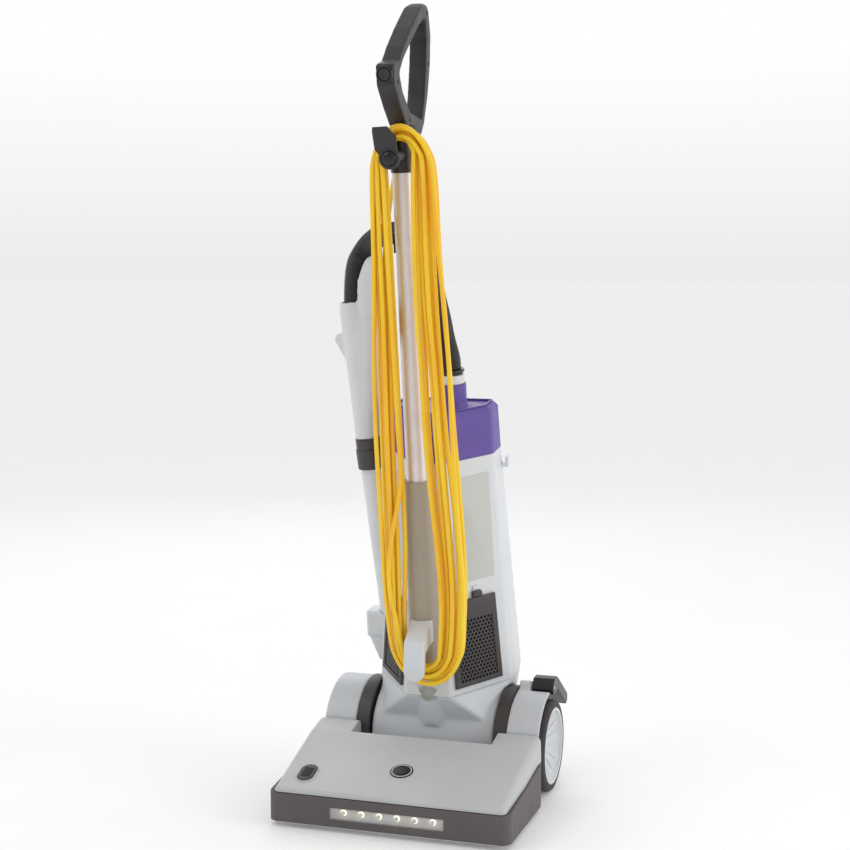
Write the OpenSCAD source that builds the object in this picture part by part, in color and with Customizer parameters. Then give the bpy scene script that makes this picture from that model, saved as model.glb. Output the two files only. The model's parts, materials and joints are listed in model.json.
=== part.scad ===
// Commercial upright vacuum cleaner with on-board wand and hose.
// +X is the machine's left-to-right as seen from the front, +Y is towards the back, +Z is up.
// The origin is on the floor under the middle of the machine.

/* [Floor head] */
// Overall width over the bumper
head_w = 385; // [381:1:389]
// Distance from the origin to the front of the bumper
head_front = 200; // [198:1:202]
// Height of the bumper's upper edge at the front
bumper_top_front = 52; // [48:1:54]
// Height of the bumper's upper edge at the back
bumper_top_back = 76; // [72:1:78]
// Height of the underside of the chassis
chassis_z = 8; // [7:1:9]
// Thickness of the moulded walls
wall = 3; // [2.5:0.5:3.5]

/* [Wheels] */
// Radius of the rear wheels over the tyre
wheel_r = 75; // [74:0.5:76]
// Distance from the origin back to the rear axle
axle_y = 100; // [98:1:102]
// Radius of the wheel axles
axle_r = 8; // [7:0.5:9]

/* [Upright] */
// Forward lean of the upright when it is parked
lean = 8; // [7:0.5:9]
// Height of the upright's pivot
pivot_z = 85; // [84:1:86]
// Radius of the round motor drum between the brackets
drum_r = 76; // [74:1:77]
// Half the width of the motor drum
drum_half = 104; // [102:1:104.5]
// Height of the bag housing's lower edge above the pivot
shell_low = 95; // [94:1:96]
// Height of the bag housing's upper edge above the pivot
shell_high = 468; // [464:1:470]
// Top of the lid above the pivot
lid_top = 545; // [540:1:550]
// Radius of the metal tube
tube_r = 16.5; // [16:0.5:17]
// Distance of the tube's axis in front of the pivot plane
tube_v = 85; // [84:1:86]

/* [Wand and hose] */
// Radius of the wand tube
wand_r = 19; // [18:0.5:19.5]
// Sideways splay of the stored wand
wand_splay = 5; // [4.5:0.5:5.5]
// Outer radius of the suction hose
hose_r = 17.5; // [16.5:0.5:18]

/* [Mains cord] */
// Diameter of the mains cord
cord_d = 7.5; // [7:0.5:8]
// Height of the upper cord hook above the pivot
hook_w = 958; // [954:1:960]

/* [Hidden] */
$fn = 64;
hull_fn = 32;

// Colours
c_cover = [0.74, 0.75, 0.76];
c_light = [0.84, 0.86, 0.88];
c_taupe = [0.60, 0.57, 0.53];
c_dark = [0.33, 0.31, 0.30];
c_black = [0.12, 0.12, 0.13];
c_purple = [0.38, 0.31, 0.60];
c_metal = [0.80, 0.80, 0.82];
c_cord = [0.95, 0.75, 0.10];

// Floor head
half_w = head_w / 2;
bumper_t = 4;
inner_half = half_w - bumper_t;
inner_front = -head_front + bumper_t;
bumper_back = -8;
chassis_back = 8;
cover_front_z = 62;
cover_rear_y = -32;
cover_rear_z = 108;
cover_front_y = -head_front + 14;
cover_pitch = atan((cover_rear_z - cover_front_z) / (cover_rear_y - cover_front_y));
recess_half = 118;
brush_y = -140;
brush_z = 34;
brush_tip_r = 31;
motor_y = -62;
motor_z = 50;
roller_x = 120;
roller_y = -86;
roller_r = 12;
button_x = -145;
button_y = -152;
badge_y = -124;
lens_half = 91;
lens_z0 = 20;
lens_z1 = 38;
led_count = 6;
led_pitch = 28.5;

// Wheels, fenders and pivot
wheel_in = 140;
wheel_out = 188;
running_gap = 0.05;
fender_in = 128;
fender_out = 182;
fender_r = 92;
bracket_in = 106.5;
bracket_out = 127;
bracket_r = 84;
trunnion_r = 22;
bush_r = 26;
bush_out = 115.5;
pedal_y = 108;
pedal_z = 170;

// Upright, measured up from the pivot (w), back from the pivot plane (v) and across (x)
low_section = [
    [-37.6, -82], [37.6, -82], [112, 14.4], [115.5, 38], [108, 104],
    [-108, 104], [-115.5, 38], [-112, 14.4]
];
high_section = [
    [-28, -29], [28, -29], [84.7, 44.3], [87, 52], [86, 104],
    [-86, 104], [-87, 52], [-84.7, 44.3]
];
panel_angle = 52.3;
panel_tilt = 6.1;
panel_at = [63.2, -48.8];
nose_top = 130;
lid_gap = 0.5;
hinge_v = 110;
hinge_w = 474;
port_at = [21.5, 45];
port_r = 24;
port_top = 584;
cuff_top = 606;
tube_low = 200;
tube_high = 990;
collar_low = 933;
collar_high = 1000;
collar_r = 18;
handle_half = 14;
boss_r = 10;
boss_front = -138;
lead_w = 962;
wand_at = [-99, 60, 110];
wand_len = 370;
latch_w = 500;
latch_v = -34.5;
hose_join = 16;

// Route points of the hose, from the lid to the wand, and of the mains lead (x, v, w)
hose_route = [
    [21.5, 45, 608.2], [20.4, 44.4, 625], [15.5, 36, 658], [16, 18, 692], [17, -4, 724],
    [18, -22, 754], [17, -35, 784], [9, -42, 812], [-6, -42, 829], [-28, -31, 835],
    [-52, -9, 832], [-76, 17, 826], [-96, 40, 816], [-111, 54, 806], [-123, 60, 794],
    [-132.5, 60, 780], [-138, 60, 763], [-141.5, 60, 738], [-143.5, 60, 708], [-142.4, 60, 676]
];
lead_route = [
    [0, -46, 962], [0, -34, 961], [-5, -22, 957], [-15, -17, 950], [-25, -22, 940],
    [-29, -36, 926], [-28, -54, 910], [-26, -72, 893], [-25, -88, 871], [-25, -100, 845],
    [-26, -108, 815], [-27, -112, 780]
];

// ---------------------------------------------------------------- helpers

// Extrudes a profile drawn in Y and Z along X, from x0 to x1
module along_x(x0, x1) {
    translate([x0, 0, 0]) rotate([90, 0, 90]) linear_extrude(x1 - x0) children();
}

// A cylinder along X
module rod_x(r, x0, x1, y, z) {
    translate([x0, y, z]) rotate([0, 90, 0]) cylinder(r = r, h = x1 - x0);
}

// A cylinder along Y, or along v inside the upright's frame
module rod_y(r, y0, y1, x, z) {
    translate([x, y1, z]) rotate([90, 0, 0]) cylinder(r = r, h = y1 - y0);
}

// A box from its lowest to its highest corner
module box(a, b) {
    translate(a) cube(b - a);
}

// Plan outline with rounded front corners
module head_outline(half, front, back, r) {
    translate([-half, front + r]) square([2 * half, back - front - r]);
    translate([-half + r, front]) square([2 * (half - r), r + 1]);
    for (s = [-1, 1]) translate([s * (half - r), front + r]) circle(r);
}

// Puts a part into the leaning frame of the upright
module in_upright() {
    translate([0, axle_y, pivot_z]) rotate([lean, 0, 0]) children();
}

// Puts a part into the frame of the stored wand
module in_wand() {
    in_upright() translate(wand_at) rotate([0, -wand_splay, 0]) children();
}

// Puts a part on a front panel of the bag housing: X along it, -Y outwards, Z up it
module on_panel(side) {
    in_upright() mirror([side < 0 ? 1 : 0, 0, 0])
        translate([panel_at.x, panel_at.y, shell_low])
        rotate([0, 0, panel_angle]) rotate([-panel_tilt, 0, 0]) children();
}

// Puts a part on the sloping top of the floor head's cover
module on_cover(x, y) {
    z = cover_front_z + (y - cover_front_y) * tan(cover_pitch);
    translate([x, y, z]) rotate([cover_pitch, 0, 0]) children();
}

// A section of the bag housing with rounded corners, shrunk by an inset
module section(points, inset = 0, r = 9) {
    offset(r = r, $fn = hull_fn) offset(delta = -r - inset) polygon(points);
}

// The bag housing's outer form between its two sections
module shell_form(inset = 0, low = 0, high = 0) {
    hull() {
        translate([0, 0, shell_low + low]) linear_extrude(1) section(low_section, inset);
        translate([0, 0, shell_high - 1 + high]) linear_extrude(1) section(high_section, inset);
    }
}

// A round tube swept along route points, as one closed solid
function unit(v) = v / norm(v);
function catmull(p, i, t) =
    let (n = len(p) - 1, a = p[max(i - 1, 0)], b = p[i], c = p[min(i + 1, n)], d = p[min(i + 2, n)])
    0.5 * (2 * b + (c - a) * t + (2 * a - 5 * b + 4 * c - d) * t * t
        + (3 * b - a - 3 * c + d) * t * t * t);
function smooth(p, steps) = concat(
    [for (i = [0 : len(p) - 2]) for (k = [0 : steps - 1]) catmull(p, i, k / steps)],
    [p[len(p) - 1]]
);
function tangent(p, i) = unit(p[min(i + 1, len(p) - 1)] - p[max(i - 1, 0)]);
function carry(p, i, up) =
    let (t = tangent(p, i), u = unit(up - (up * t) * t))
    i == len(p) - 1 ? [u] : concat([u], carry(p, i + 1, u));
module sweep(route, r, sides, steps, up, first = 0, last = 1000) {
    p = smooth(route, steps);
    ups = carry(p, 0, up);
    end = min(last, len(p) - 1);
    n = end - first + 1;
    points = [
        for (i = [first : end]) for (k = [0 : sides - 1])
            let (a = 360 * k / sides, side = cross(tangent(p, i), ups[i]))
            p[i] + r * (cos(a) * ups[i] + sin(a) * side)
    ];
    faces = concat(
        [[for (k = [0 : sides - 1]) k]],
        [[for (k = [sides - 1 : -1 : 0]) (n - 1) * sides + k]],
        [
            for (i = [0 : n - 2]) for (k = [0 : sides - 1])
                let (a = i * sides + k, b = i * sides + (k + 1) % sides)
                [a, a + sides, b]
        ],
        [
            for (i = [0 : n - 2]) for (k = [0 : sides - 1])
                let (a = i * sides + k, b = i * sides + (k + 1) % sides)
                [b, a + sides, b + sides]
        ]
    );
    polyhedron(points, faces);
}

// ---------------------------------------------------------------- floor head

// Profile under the bumper's upper edge, in Y and Z
module below_bumper_edge(front = -head_front - 1, back = bumper_back) {
    polygon([
        [front, chassis_z], [front, bumper_top_front],
        [-head_front + 12, bumper_top_front + 2],
        [bumper_back, bumper_top_back], [back, bumper_top_back], [back, chassis_z]
    ]);
}

module front_bumper() {
    color(c_dark) difference() {
        intersection() {
            linear_extrude(90) head_outline(half_w, -head_front, bumper_back, 16);
            along_x(-half_w, half_w) below_bumper_edge();
        }
        linear_extrude(100) head_outline(inner_half, inner_front, 0, 12);
        box([-lens_half, -head_front - 1, lens_z0], [lens_half, inner_front + 1, lens_z1]);
    }
}

module base_chassis() {
    slot_half = 174;
    color(c_dark) {
        difference() {
            intersection() {
                linear_extrude(90) head_outline(inner_half, inner_front, chassis_back, 12);
                along_x(-half_w, half_w) below_bumper_edge(back = chassis_back);
            }
            translate([0, 0, chassis_z + wall]) linear_extrude(100)
                head_outline(inner_half - wall, inner_front + wall, chassis_back - wall, 9);
            box([-slot_half, brush_y - 34, 0], [slot_half, brush_y + 34, 20]);
            box([-lens_half, inner_front - 1, lens_z0], [lens_half, inner_front + wall + 1, lens_z1]);
            for (s = [-1, 1]) box(
                [s * roller_x - 14, roller_y - 15, 0], [s * roller_x + 14, roller_y + 15, 20]
            );
            box([-31, chassis_back - 5, 29], [31, chassis_back + 1, 63]);
            box([-recess_half - 4, chassis_back - 15, 62], [recess_half + 4, chassis_back + 1, 90]);
        }
        // Wall behind the brush, with openings for the belt and the suction duct
        difference() {
            box([-inner_half + wall, -104, chassis_z + wall], [inner_half - wall, -101, 66]);
            box([152, -105, chassis_z], [178, -100, 70]);
            box([-31, -105, 29], [31, -100, 63]);
        }
        // Bearings of the brush roll
        for (s = [-1, 1]) difference() {
            box([s * 179 - 3, brush_y - 16, chassis_z + wall], [s * 179 + 3, brush_y + 16, 52]);
            rod_x(6 + running_gap, s * 179 - 5, s * 179 + 5, brush_y, brush_z);
        }
        // Forks and pins of the support rollers
        for (s = [-1, 1]) {
            for (e = [-1, 1]) box(
                [s * roller_x + e * 13 - 2, roller_y - 8, 6],
                [s * roller_x + e * 13 + 2, roller_y + 8, 22]
            );
            rod_x(3, s * roller_x - 12, s * roller_x + 12, roller_y, roller_r);
        }
    }
}

// The cover's rounded form before it is cut to the chassis
module cover_form(inset) {
    r = 10 - inset;
    ends = [
        [half_w - 17, cover_front_y, cover_front_z - 10],
        [half_w - 14.5, cover_rear_y, cover_rear_z - 10],
        [half_w - 14.5, 6, cover_rear_z - 2],
        [half_w - 12.5, cover_front_y - 1, 20],
        [half_w - 12.5, 6, 20]
    ];
    hull() for (p = ends) for (s = [-1, 1])
        translate([s * p.x, p.y, p.z]) sphere(r = r, $fn = 24);
}

module base_cover() {
    color(c_cover) {
        difference() {
            cover_form(0);
            cover_form(wall);
            along_x(-half_w - 5, half_w + 5) offset(delta = 0.01)
                below_bumper_edge(front = -head_front - 20, back = 30);
            box([-250, -250, -1], [250, 250, chassis_z]);
            box([-recess_half, cover_rear_y, 20], [recess_half, 40, 160]);
            on_cover(button_x, button_y) translate([0, 0, -12]) linear_extrude(24)
                oval_outline(0.6);
            on_cover(0, badge_y) cylinder(r = 18, h = 6);
        }
        // Slope behind the rear edge, down to the chassis
        along_x(-recess_half, recess_half) polygon([
            [cover_rear_y - 1, cover_rear_z - 3.3], [cover_rear_y, cover_rear_z],
            [chassis_back, 68], [chassis_back, 64]
        ]);
        // Walls on both sides of the recess
        for (s = [-1, 1]) along_x(s * (recess_half + 1.5) - 1.5, s * (recess_half + 1.5) + 1.5)
            polygon([
                [cover_rear_y - 2, 78], [cover_rear_y - 2, cover_rear_z - 1],
                [6, cover_rear_z + 7], [15, cover_rear_z + 2], [15, 78]
            ]);
    }
}

module oval_outline(grow = 0) {
    for (s = [-1, 1]) translate([0, s * 9]) circle(13 + grow);
    square([26 + 2 * grow, 18], center = true);
}

module oval_button() {
    color(c_dark) on_cover(button_x, button_y) {
        translate([0, 0, -8]) linear_extrude(10) oval_outline(0);
        translate([0, 0, 1.9]) linear_extrude(1.2) oval_outline(-2);
    }
}

module badge() {
    color(c_black) on_cover(0, badge_y) difference() {
        cylinder(r = 18, h = 1.6);
        translate([0, 0, 0.9]) cylinder(r = 14, h = 2);
    }
    color(c_metal) on_cover(0, badge_y) translate([0, 0, 0.9]) cylinder(r = 9, h = 0.8);
}

module sole_plate() {
    color(c_metal) difference() {
        translate([0, 0, 5]) linear_extrude(3) head_outline(half_w - 10, -head_front + 6, -70, 10);
        box([-168, brush_y - 32, 0], [168, brush_y + 32, 20]);
        for (s = [-1, 1]) box(
            [s * roller_x - 16, roller_y - 16, 0], [s * roller_x + 16, roller_y + 20, 20]
        );
        for (p = sole_screw_at) translate([p.x, p.y, 0]) {
            cylinder(r = 2.2, h = 20);
            cylinder(r = 4.1, h = 6.6);
        }
    }
}

sole_screw_at = [[-175, -185], [0, -185], [175, -185], [-176, -84], [0, -84], [176, -84]];

module sole_plate_screws() {
    color(c_metal) for (p = sole_screw_at) translate([p.x, p.y, 5.2]) {
        cylinder(r = 4, h = 1.4);
        cylinder(r = 2.15, h = 2.8);
    }
}

module headlight_lens() {
    color([0.9, 0.92, 0.95, 0.5]) difference() {
        box([-lens_half, -head_front + 1, lens_z0], [lens_half, inner_front, lens_z1]);
        box([-lens_half + 2, -head_front + 2.5, lens_z0 + 2], [lens_half - 2, 0, lens_z1 - 2]);
    }
}

module headlight_board() {
    color([0.85, 0.86, 0.84]) {
        box([-94, inner_front + 7, lens_z0 - 2], [94, inner_front + 9, lens_z1 + 1]);
        for (i = [0 : led_count - 1]) translate(
            [(i - (led_count - 1) / 2) * led_pitch, inner_front + 7, (lens_z0 + lens_z1) / 2]
        ) rotate([90, 0, 0]) cylinder(r1 = 4.5, r2 = 3, h = 5);
    }
}

// One fender around the right wheel; the pedal side is cut back for the pedal
module fender(pedal_side) {
    color(c_light) {
        difference() {
            union() {
                along_x(fender_in, pedal_side ? fender_in + 20 : fender_out) fender_arc(230);
                if (pedal_side) along_x(fender_in + 20, fender_out) fender_arc(axle_y - 8);
                along_x(fender_in, fender_in + 3) fender_sector(fender_r);
            }
            rod_x(14, fender_in - 1, fender_in + 4, axle_y, wheel_r);
        }
        if (pedal_side) {
            along_x(fender_in, fender_in + 20) polygon([
                [pedal_y - 9, 163], [pedal_y - 9, pedal_z + 2], [pedal_y - 5, pedal_z + 8],
                [pedal_y + 5, pedal_z + 8], [pedal_y + 9, pedal_z + 2], [pedal_y + 9, 162]
            ]);
            rod_x(4, fender_in + 20, wheel_out - 1, pedal_y, pedal_z);
        }
    }
}

// The fender's arched top, cut off at the back
module fender_arc(back) {
    intersection() {
        difference() {
            fender_sector(fender_r);
            translate([axle_y, wheel_r]) circle(fender_r - 4);
        }
        square([back, 300]);
    }
}

module fender_sector(r) {
    intersection() {
        translate([axle_y, wheel_r]) circle(r);
        polygon([[16.4, 78], [16.4, 200], [230, 200], [188, 128], [axle_y, wheel_r - 20], [60, 50]]);
    }
}

module right_fender() {
    fender(true);
}

module left_fender() {
    mirror([1, 0, 0]) fender(false);
}

// Bracket that holds the upright's trunnion inside and the wheel's axle outside
module pivot_bracket() {
    color(c_dark) difference() {
        along_x(bracket_in, bracket_out) {
            intersection() {
                translate([axle_y, pivot_z]) circle(bracket_r);
                translate([0, 12]) square([200, 170]);
            }
            polygon([[chassis_back, 12], [axle_y, 12], [axle_y, 80], [chassis_back, 75]]);
        }
        rod_x(bush_r, bracket_in - 1, bush_out, axle_y, pivot_z);
        rod_x(axle_r, bush_out + 2, bracket_out + 1, axle_y, wheel_r);
    }
}

module right_pivot_bracket() {
    pivot_bracket();
}

module left_pivot_bracket() {
    mirror([1, 0, 0]) pivot_bracket();
}

module pivot_bushes() {
    color(c_metal) for (m = [0, 1]) mirror([m, 0, 0]) difference() {
        rod_x(bush_r, bracket_in, bush_out, axle_y, pivot_z);
        rod_x(trunnion_r + running_gap, bracket_in - 1, bush_out + 1, axle_y, pivot_z);
    }
}

module wheel_axles() {
    color(c_metal) for (m = [0, 1]) mirror([m, 0, 0]) {
        rod_x(axle_r, bush_out + 2, 171, axle_y, wheel_r);
        rod_x(axle_r + 4, bracket_out, wheel_in, axle_y, wheel_r);
    }
}

module brush_motor() {
    color(c_black) {
        rod_x(24, 36, 112, motor_y, motor_z);
        rod_x(12, 112, 118, motor_y, motor_z);
        box([40, motor_y - 18, chassis_z + wall], [58, motor_y + 18, 35]);
        box([86, motor_y - 18, chassis_z + wall], [104, motor_y + 18, 35]);
    }
    color(c_metal) rod_x(4, 118, 174, motor_y, motor_z);
}

module motor_pulley() {
    color(c_metal) difference() {
        union() {
            rod_x(9, 158, 172, motor_y, motor_z);
            rod_x(11, 156, 158, motor_y, motor_z);
        }
        rod_x(4 + running_gap, 150, 180, motor_y, motor_z);
    }
}

module belt_loop(gap) {
    hull() {
        translate([motor_y, motor_z]) circle(9 + gap, $fn = hull_fn);
        translate([brush_y, brush_z]) circle(13 + gap, $fn = hull_fn);
    }
}

module drive_belt() {
    color(c_black) along_x(160, 170) difference() {
        belt_loop(3.2);
        belt_loop(0.5);
    }
}

module suction_duct() {
    color(c_black) difference() {
        box([-30, -101, 30], [30, 40, 62]);
        box([-27, -103, 33], [27, 60, 59]);
        rod_x(drum_r + 1, -40, 40, axle_y, pivot_z);
    }
}

module brush_core() {
    color(c_dark) {
        rod_x(17, -172, 155, brush_y, brush_z);
        rod_x(13, 155, 173, brush_y, brush_z);
        rod_x(6, -182, 182, brush_y, brush_z);
    }
}

module brush_bristles() {
    color([0.25, 0.25, 0.27]) for (k = [0 : 3]) {
        translate([0, brush_y, brush_z]) rotate([90 * k + 45, 0, 0])
            box([-166, -2, 16], [150, 2, brush_tip_r]);
    }
}

// Hub and tyre of the right wheel
module wheel_hub() {
    color(c_light) translate([0, axle_y, wheel_r]) rotate([0, 90, 0]) rotate_extrude()
        polygon([
            [axle_r + running_gap, wheel_in + 1], [16, wheel_in + 1], [16, 165], [56, 176],
            [58, 145], [63, 145], [63, 186], [61, 187.5], [58.5, 187.5], [56, 183],
            [40, 175], [22, 171], [axle_r + running_gap, 171]
        ]);
}

module wheel_tyre() {
    color(c_dark) translate([0, axle_y, wheel_r]) rotate([0, 90, 0]) rotate_extrude()
        polygon([
            [63, 143], [71, 143], [wheel_r, 148], [wheel_r, 180], [72, 185], [68, 187], [63, 187]
        ]);
}

module right_wheel_hub() {
    wheel_hub();
}

module right_wheel_tyre() {
    wheel_tyre();
}

module left_wheel_hub() {
    mirror([1, 0, 0]) wheel_hub();
}

module left_wheel_tyre() {
    mirror([1, 0, 0]) wheel_tyre();
}

module roller(side) {
    color(c_dark) difference() {
        rod_x(roller_r, side * roller_x - 9, side * roller_x + 9, roller_y, roller_r);
        rod_x(3 + running_gap, side * roller_x - 10, side * roller_x + 10, roller_y, roller_r);
    }
}

module right_roller() {
    roller(1);
}

module left_roller() {
    roller(-1);
}

module release_pedal() {
    color(c_black) difference() {
        union() {
            rod_x(11, 150, 186, pedal_y, pedal_z);
            along_x(150, 186) polygon([
                [pedal_y - 8, pedal_z + 7], [pedal_y - 2, pedal_z + 15], [pedal_y + 14, pedal_z + 16],
                [pedal_y + 30, pedal_z + 8], [head_front, 138], [head_front, 126],
                [head_front - 10, 122], [pedal_y + 24, pedal_z - 8], [pedal_y + 4, pedal_z - 10]
            ]);
        }
        rod_x(4 + running_gap, 140, 200, pedal_y, pedal_z);
    }
}

// ---------------------------------------------------------------- upright

// Rounded nose of the motor housing, which runs up in front of the bag housing
module nose_form() {
    hull() {
        translate([0, -45, 38]) cylinder(r = 27, h = 1, $fn = hull_fn);
        translate([0, -64, nose_top - 1]) cylinder(r = 27, h = 1, $fn = hull_fn);
    }
}

module motor_housing() {
    color(c_light) in_upright() {
        difference() {
            union() {
                rod_x(drum_r, -drum_half, drum_half, 0, 0);
                hull() {
                    translate([0, 0, shell_low - 2]) linear_extrude(2) section(low_section);
                    box([-drum_half, -52, 32], [drum_half, 66, 33]);
                }
                nose_form();
            }
            // Room for the motor and the air passage above it
            rod_x(drum_r - 4, -drum_half + 4, drum_half - 4, 0, 0);
            hull() {
                translate([0, 0, shell_low]) linear_extrude(3) section(low_section, 26);
                box([-drum_half + 16, -40, 40], [drum_half - 16, 50, 41]);
            }
            rod_x(15, -drum_half - 1, -drum_half + 10, 0, 0);
            // Clearance around both pivot brackets
            rod_x(bracket_r + 1, drum_half + 0.5, 130, 0, 0);
            rod_x(bracket_r + 1, -130, -drum_half - 0.5, 0, 0);
            // Round recess in the nose
            rod_y(14, -110, -68, 0, 98);
        }
        // Trunnions; the left one is the cord's and the air's way through
        rod_x(trunnion_r, drum_half - 3, bush_out - 0.5, 0, 0);
        difference() {
            rod_x(trunnion_r, -bush_out + 0.5, -drum_half + 3, 0, 0);
            rod_x(15, -bush_out - 1, -drum_half + 10, 0, 0);
        }
    }
}

module suction_motor() {
    color(c_metal) in_upright() {
        rod_x(50, -70, 24, 0, 0);
        rod_x(drum_r - 4, -74, -70, 0, 0);
        rod_x(5, 24, 66, 0, 0);
    }
}

module suction_fan() {
    color(c_metal) in_upright() difference() {
        union() {
            rod_x(60, 34, 37, 0, 0);
            rod_x(60, 57, 60, 0, 0);
            rod_x(14, 34, 60, 0, 0);
            for (k = [0 : 7]) rotate([45 * k, 0, 0]) box([35, -1, 12], [59, 1, 58]);
        }
        rod_x(5 + running_gap, 20, 80, 0, 0);
    }
}

module body_shell() {
    color(c_light) difference() {
        union() {
            in_upright() difference() {
                shell_form();
                shell_form(wall, 5, 10);
                translate([0, 0, shell_low - 1]) linear_extrude(8) section(low_section, 16);
            }
            // Ridge that the lid's latch hooks under
            in_upright() box([-10, latch_v, 456.5], [10, -28.5, 459.5]);
            // Small cord hook on the right side
            in_upright() {
                box([84, 86, 436], [100, 96, 442]);
                box([96, 86, 436], [100, 96, 453]);
            }
            // Lugs of the lid's hinge
            in_upright() for (s = [-1, 1]) {
                rod_x(5, s * 36 - 4, s * 36 + 4, hinge_v, hinge_w);
                along_x(s * 36 - 4, s * 36 + 4) polygon([
                    [hinge_v - 5, hinge_w], [hinge_v + 5, hinge_w], [hinge_v + 3, hinge_w - 16],
                    [100, hinge_w - 34], [100, hinge_w - 12], [hinge_v - 5, hinge_w - 8]
                ]);
            }
        }
        in_upright() rod_x(3, -50, 50, hinge_v, hinge_w);
        in_upright() nose_form();
        // Channel for the stored wand
        in_wand() translate([0, 0, -40]) cylinder(r = wand_r + 4, h = 460);
        // Windows behind the grilles
        for (s = [-1, 1]) on_panel(s) box([-22, -5, 20], [56, 12, 118]);
    }
}

module column_form() {
    hull() for (p = [[-64, nose_top + 0.5, 27], [-80, tube_low, 25], [-tube_v, 455, 20.5]])
        translate([0, p[0], p[1]]) cylinder(r = p[2], h = 1, $fn = hull_fn);
}

module column_cover() {
    color(c_taupe) in_upright() difference() {
        union() {
            column_form();
            // Web back to the bag housing
            hull() {
                box([-10, -75, nose_top + 0.5], [10, -60, nose_top + 1]);
                box([-8, -78, 440], [8, -24, 441]);
            }
        }
        shell_form();
        translate([0, -tube_v, tube_low]) cylinder(r = tube_r, h = 400);
    }
}

module lower_cord_hook() {
    color(c_light) in_upright() difference() {
        union() {
            // Root on the column, sloping down to its front
            hull() {
                box([-15, -104, 196], [19, -84, 232]);
                box([-12, -150, 192], [21, -142, 212]);
            }
            // Tongue that hangs in front of the cord
            hull() {
                box([-12, -150, 202], [21, -140, 212]);
                rod_y(16.5, -160, -150, 4.5, 165);
            }
        }
        column_form();
        shell_form();
        box([-20, -139.5, 100], [30, -60, 192]);
    }
}

module grille_cover() {
    color(c_dark) difference() {
        rotate([90, 0, 0]) linear_extrude(5) offset(r = 7, $fn = hull_fn) offset(delta = -7)
            polygon([[-37, 3], [70, 3], [71, 158], [-31, 158]]);
        box([-24, -6, 16], [58, -3.5, 122]);
    }
}

module right_grille_cover() {
    difference() {
        on_panel(1) grille_cover();
        in_upright() shell_form();
    }
}

module left_grille_cover() {
    difference() {
        on_panel(-1) grille_cover();
        in_upright() shell_form();
        in_wand() translate([0, 0, -40]) cylinder(r = wand_r + 4, h = 460);
    }
}

module filter_bag() {
    color([0.93, 0.92, 0.88]) in_upright() difference() {
        hull() {
            translate([0, 0, 200]) linear_extrude(1) section(low_section, 26, 20);
            translate([0, 0, 452]) linear_extrude(1) section(high_section, 16, 14);
        }
        translate(wand_at) rotate([0, -wand_splay, 0])
            translate([0, 0, -40]) cylinder(r = wand_r + 12, h = 500);
    }
}

module main_tube() {
    color(c_metal) in_upright() translate([0, -tube_v, tube_low]) difference() {
        cylinder(r = tube_r, h = tube_high - tube_low);
        translate([0, 0, -1]) cylinder(r = tube_r - 1.5, h = 1000);
    }
}

module handle_collar() {
    color(c_black) in_upright() difference() {
        union() {
            translate([0, -tube_v, collar_low]) cylinder(r = collar_r, h = collar_high - collar_low);
            rod_y(boss_r, boss_front, -tube_v, 0, hook_w);
        }
        translate([0, -tube_v, collar_low - 1]) cylinder(r = tube_r, h = tube_high - collar_low + 1);
        rod_y(5 + running_gap, boss_front - 1, -tube_v - tube_r - 1, 0, hook_w);
        rod_y(4, -tube_v, -60, 0, lead_w);
    }
}

// Side view of the loop handle, in v and w
module handle_profile() {
    difference() {
        offset(r = 7, $fn = hull_fn) offset(delta = -7) polygon([
            [-96, 1000], [-121, 1028], [-146, 1062], [-146, 1093], [-120, 1097], [-97, 1116],
            [-60, 1141], [-24, 1162], [-4, 1173], [12, 1178], [24, 1176], [31, 1163], [36, 1130],
            [27, 1085], [9, 1040], [-14, 1000], [-30, 984], [-62, 984], [-66, 1000]
        ]);
        offset(r = 6, $fn = hull_fn) offset(delta = -6) polygon([
            [-120, 1079], [-109, 1052], [-78, 1020], [-25, 1006], [-8, 1040], [6, 1085],
            [15, 1125], [13, 1157], [-20, 1145], [-60, 1122], [-98, 1099]
        ]);
    }
}

module handle_half_shell(x0, x1) {
    in_upright() difference() {
        intersection() {
            along_x(x0, x1) handle_profile();
            // Rounded end of the loop
            translate([0, 60, 0]) rotate([90, 0, 0]) linear_extrude(240)
                offset(r = 9, $fn = hull_fn) offset(delta = -9)
                polygon([[-handle_half, 900], [handle_half, 900],
                    [handle_half, 1178.2], [-handle_half, 1178.2]]);
        }
        translate([0, -tube_v, 900]) cylinder(r = collar_r, h = collar_high - 900);
        rod_y(9.4, -160, -138, 0, 1078);
        for (p = handle_screw_at) rod_x(2.5, -20, 20, p.x, p.y);
    }
}

handle_screw_at = [[-83, 1009], [17, 1088], [22, 1163], [-130, 1066]];

module handle_left_shell() {
    color(c_black) handle_half_shell(-handle_half, 0);
}

module handle_right_shell() {
    color(c_black) handle_half_shell(0, handle_half);
}

module handle_screws() {
    color(c_metal) in_upright() for (p = handle_screw_at) {
        rod_x(2.5, -12, 12, p.x, p.y);
    }
}

module power_button() {
    color(c_dark) in_upright() rod_y(9, -149.5, -142, 0, 1078);
}

module cord_hook() {
    color(c_dark) in_upright() {
        rod_y(15, boss_front - 8, boss_front - 0.5, 0, hook_w);
        rod_y(5, boss_front - 1, boss_front + 22, 0, hook_w);
        hull() {
            rod_y(15, boss_front - 7, boss_front - 1.5, 0, hook_w, $fn = hull_fn);
            translate([-8, -156, hook_w + 38]) rotate([90, 0, 0])
                cylinder(r = 14.5, h = 5, $fn = hull_fn);
        }
    }
}

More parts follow.
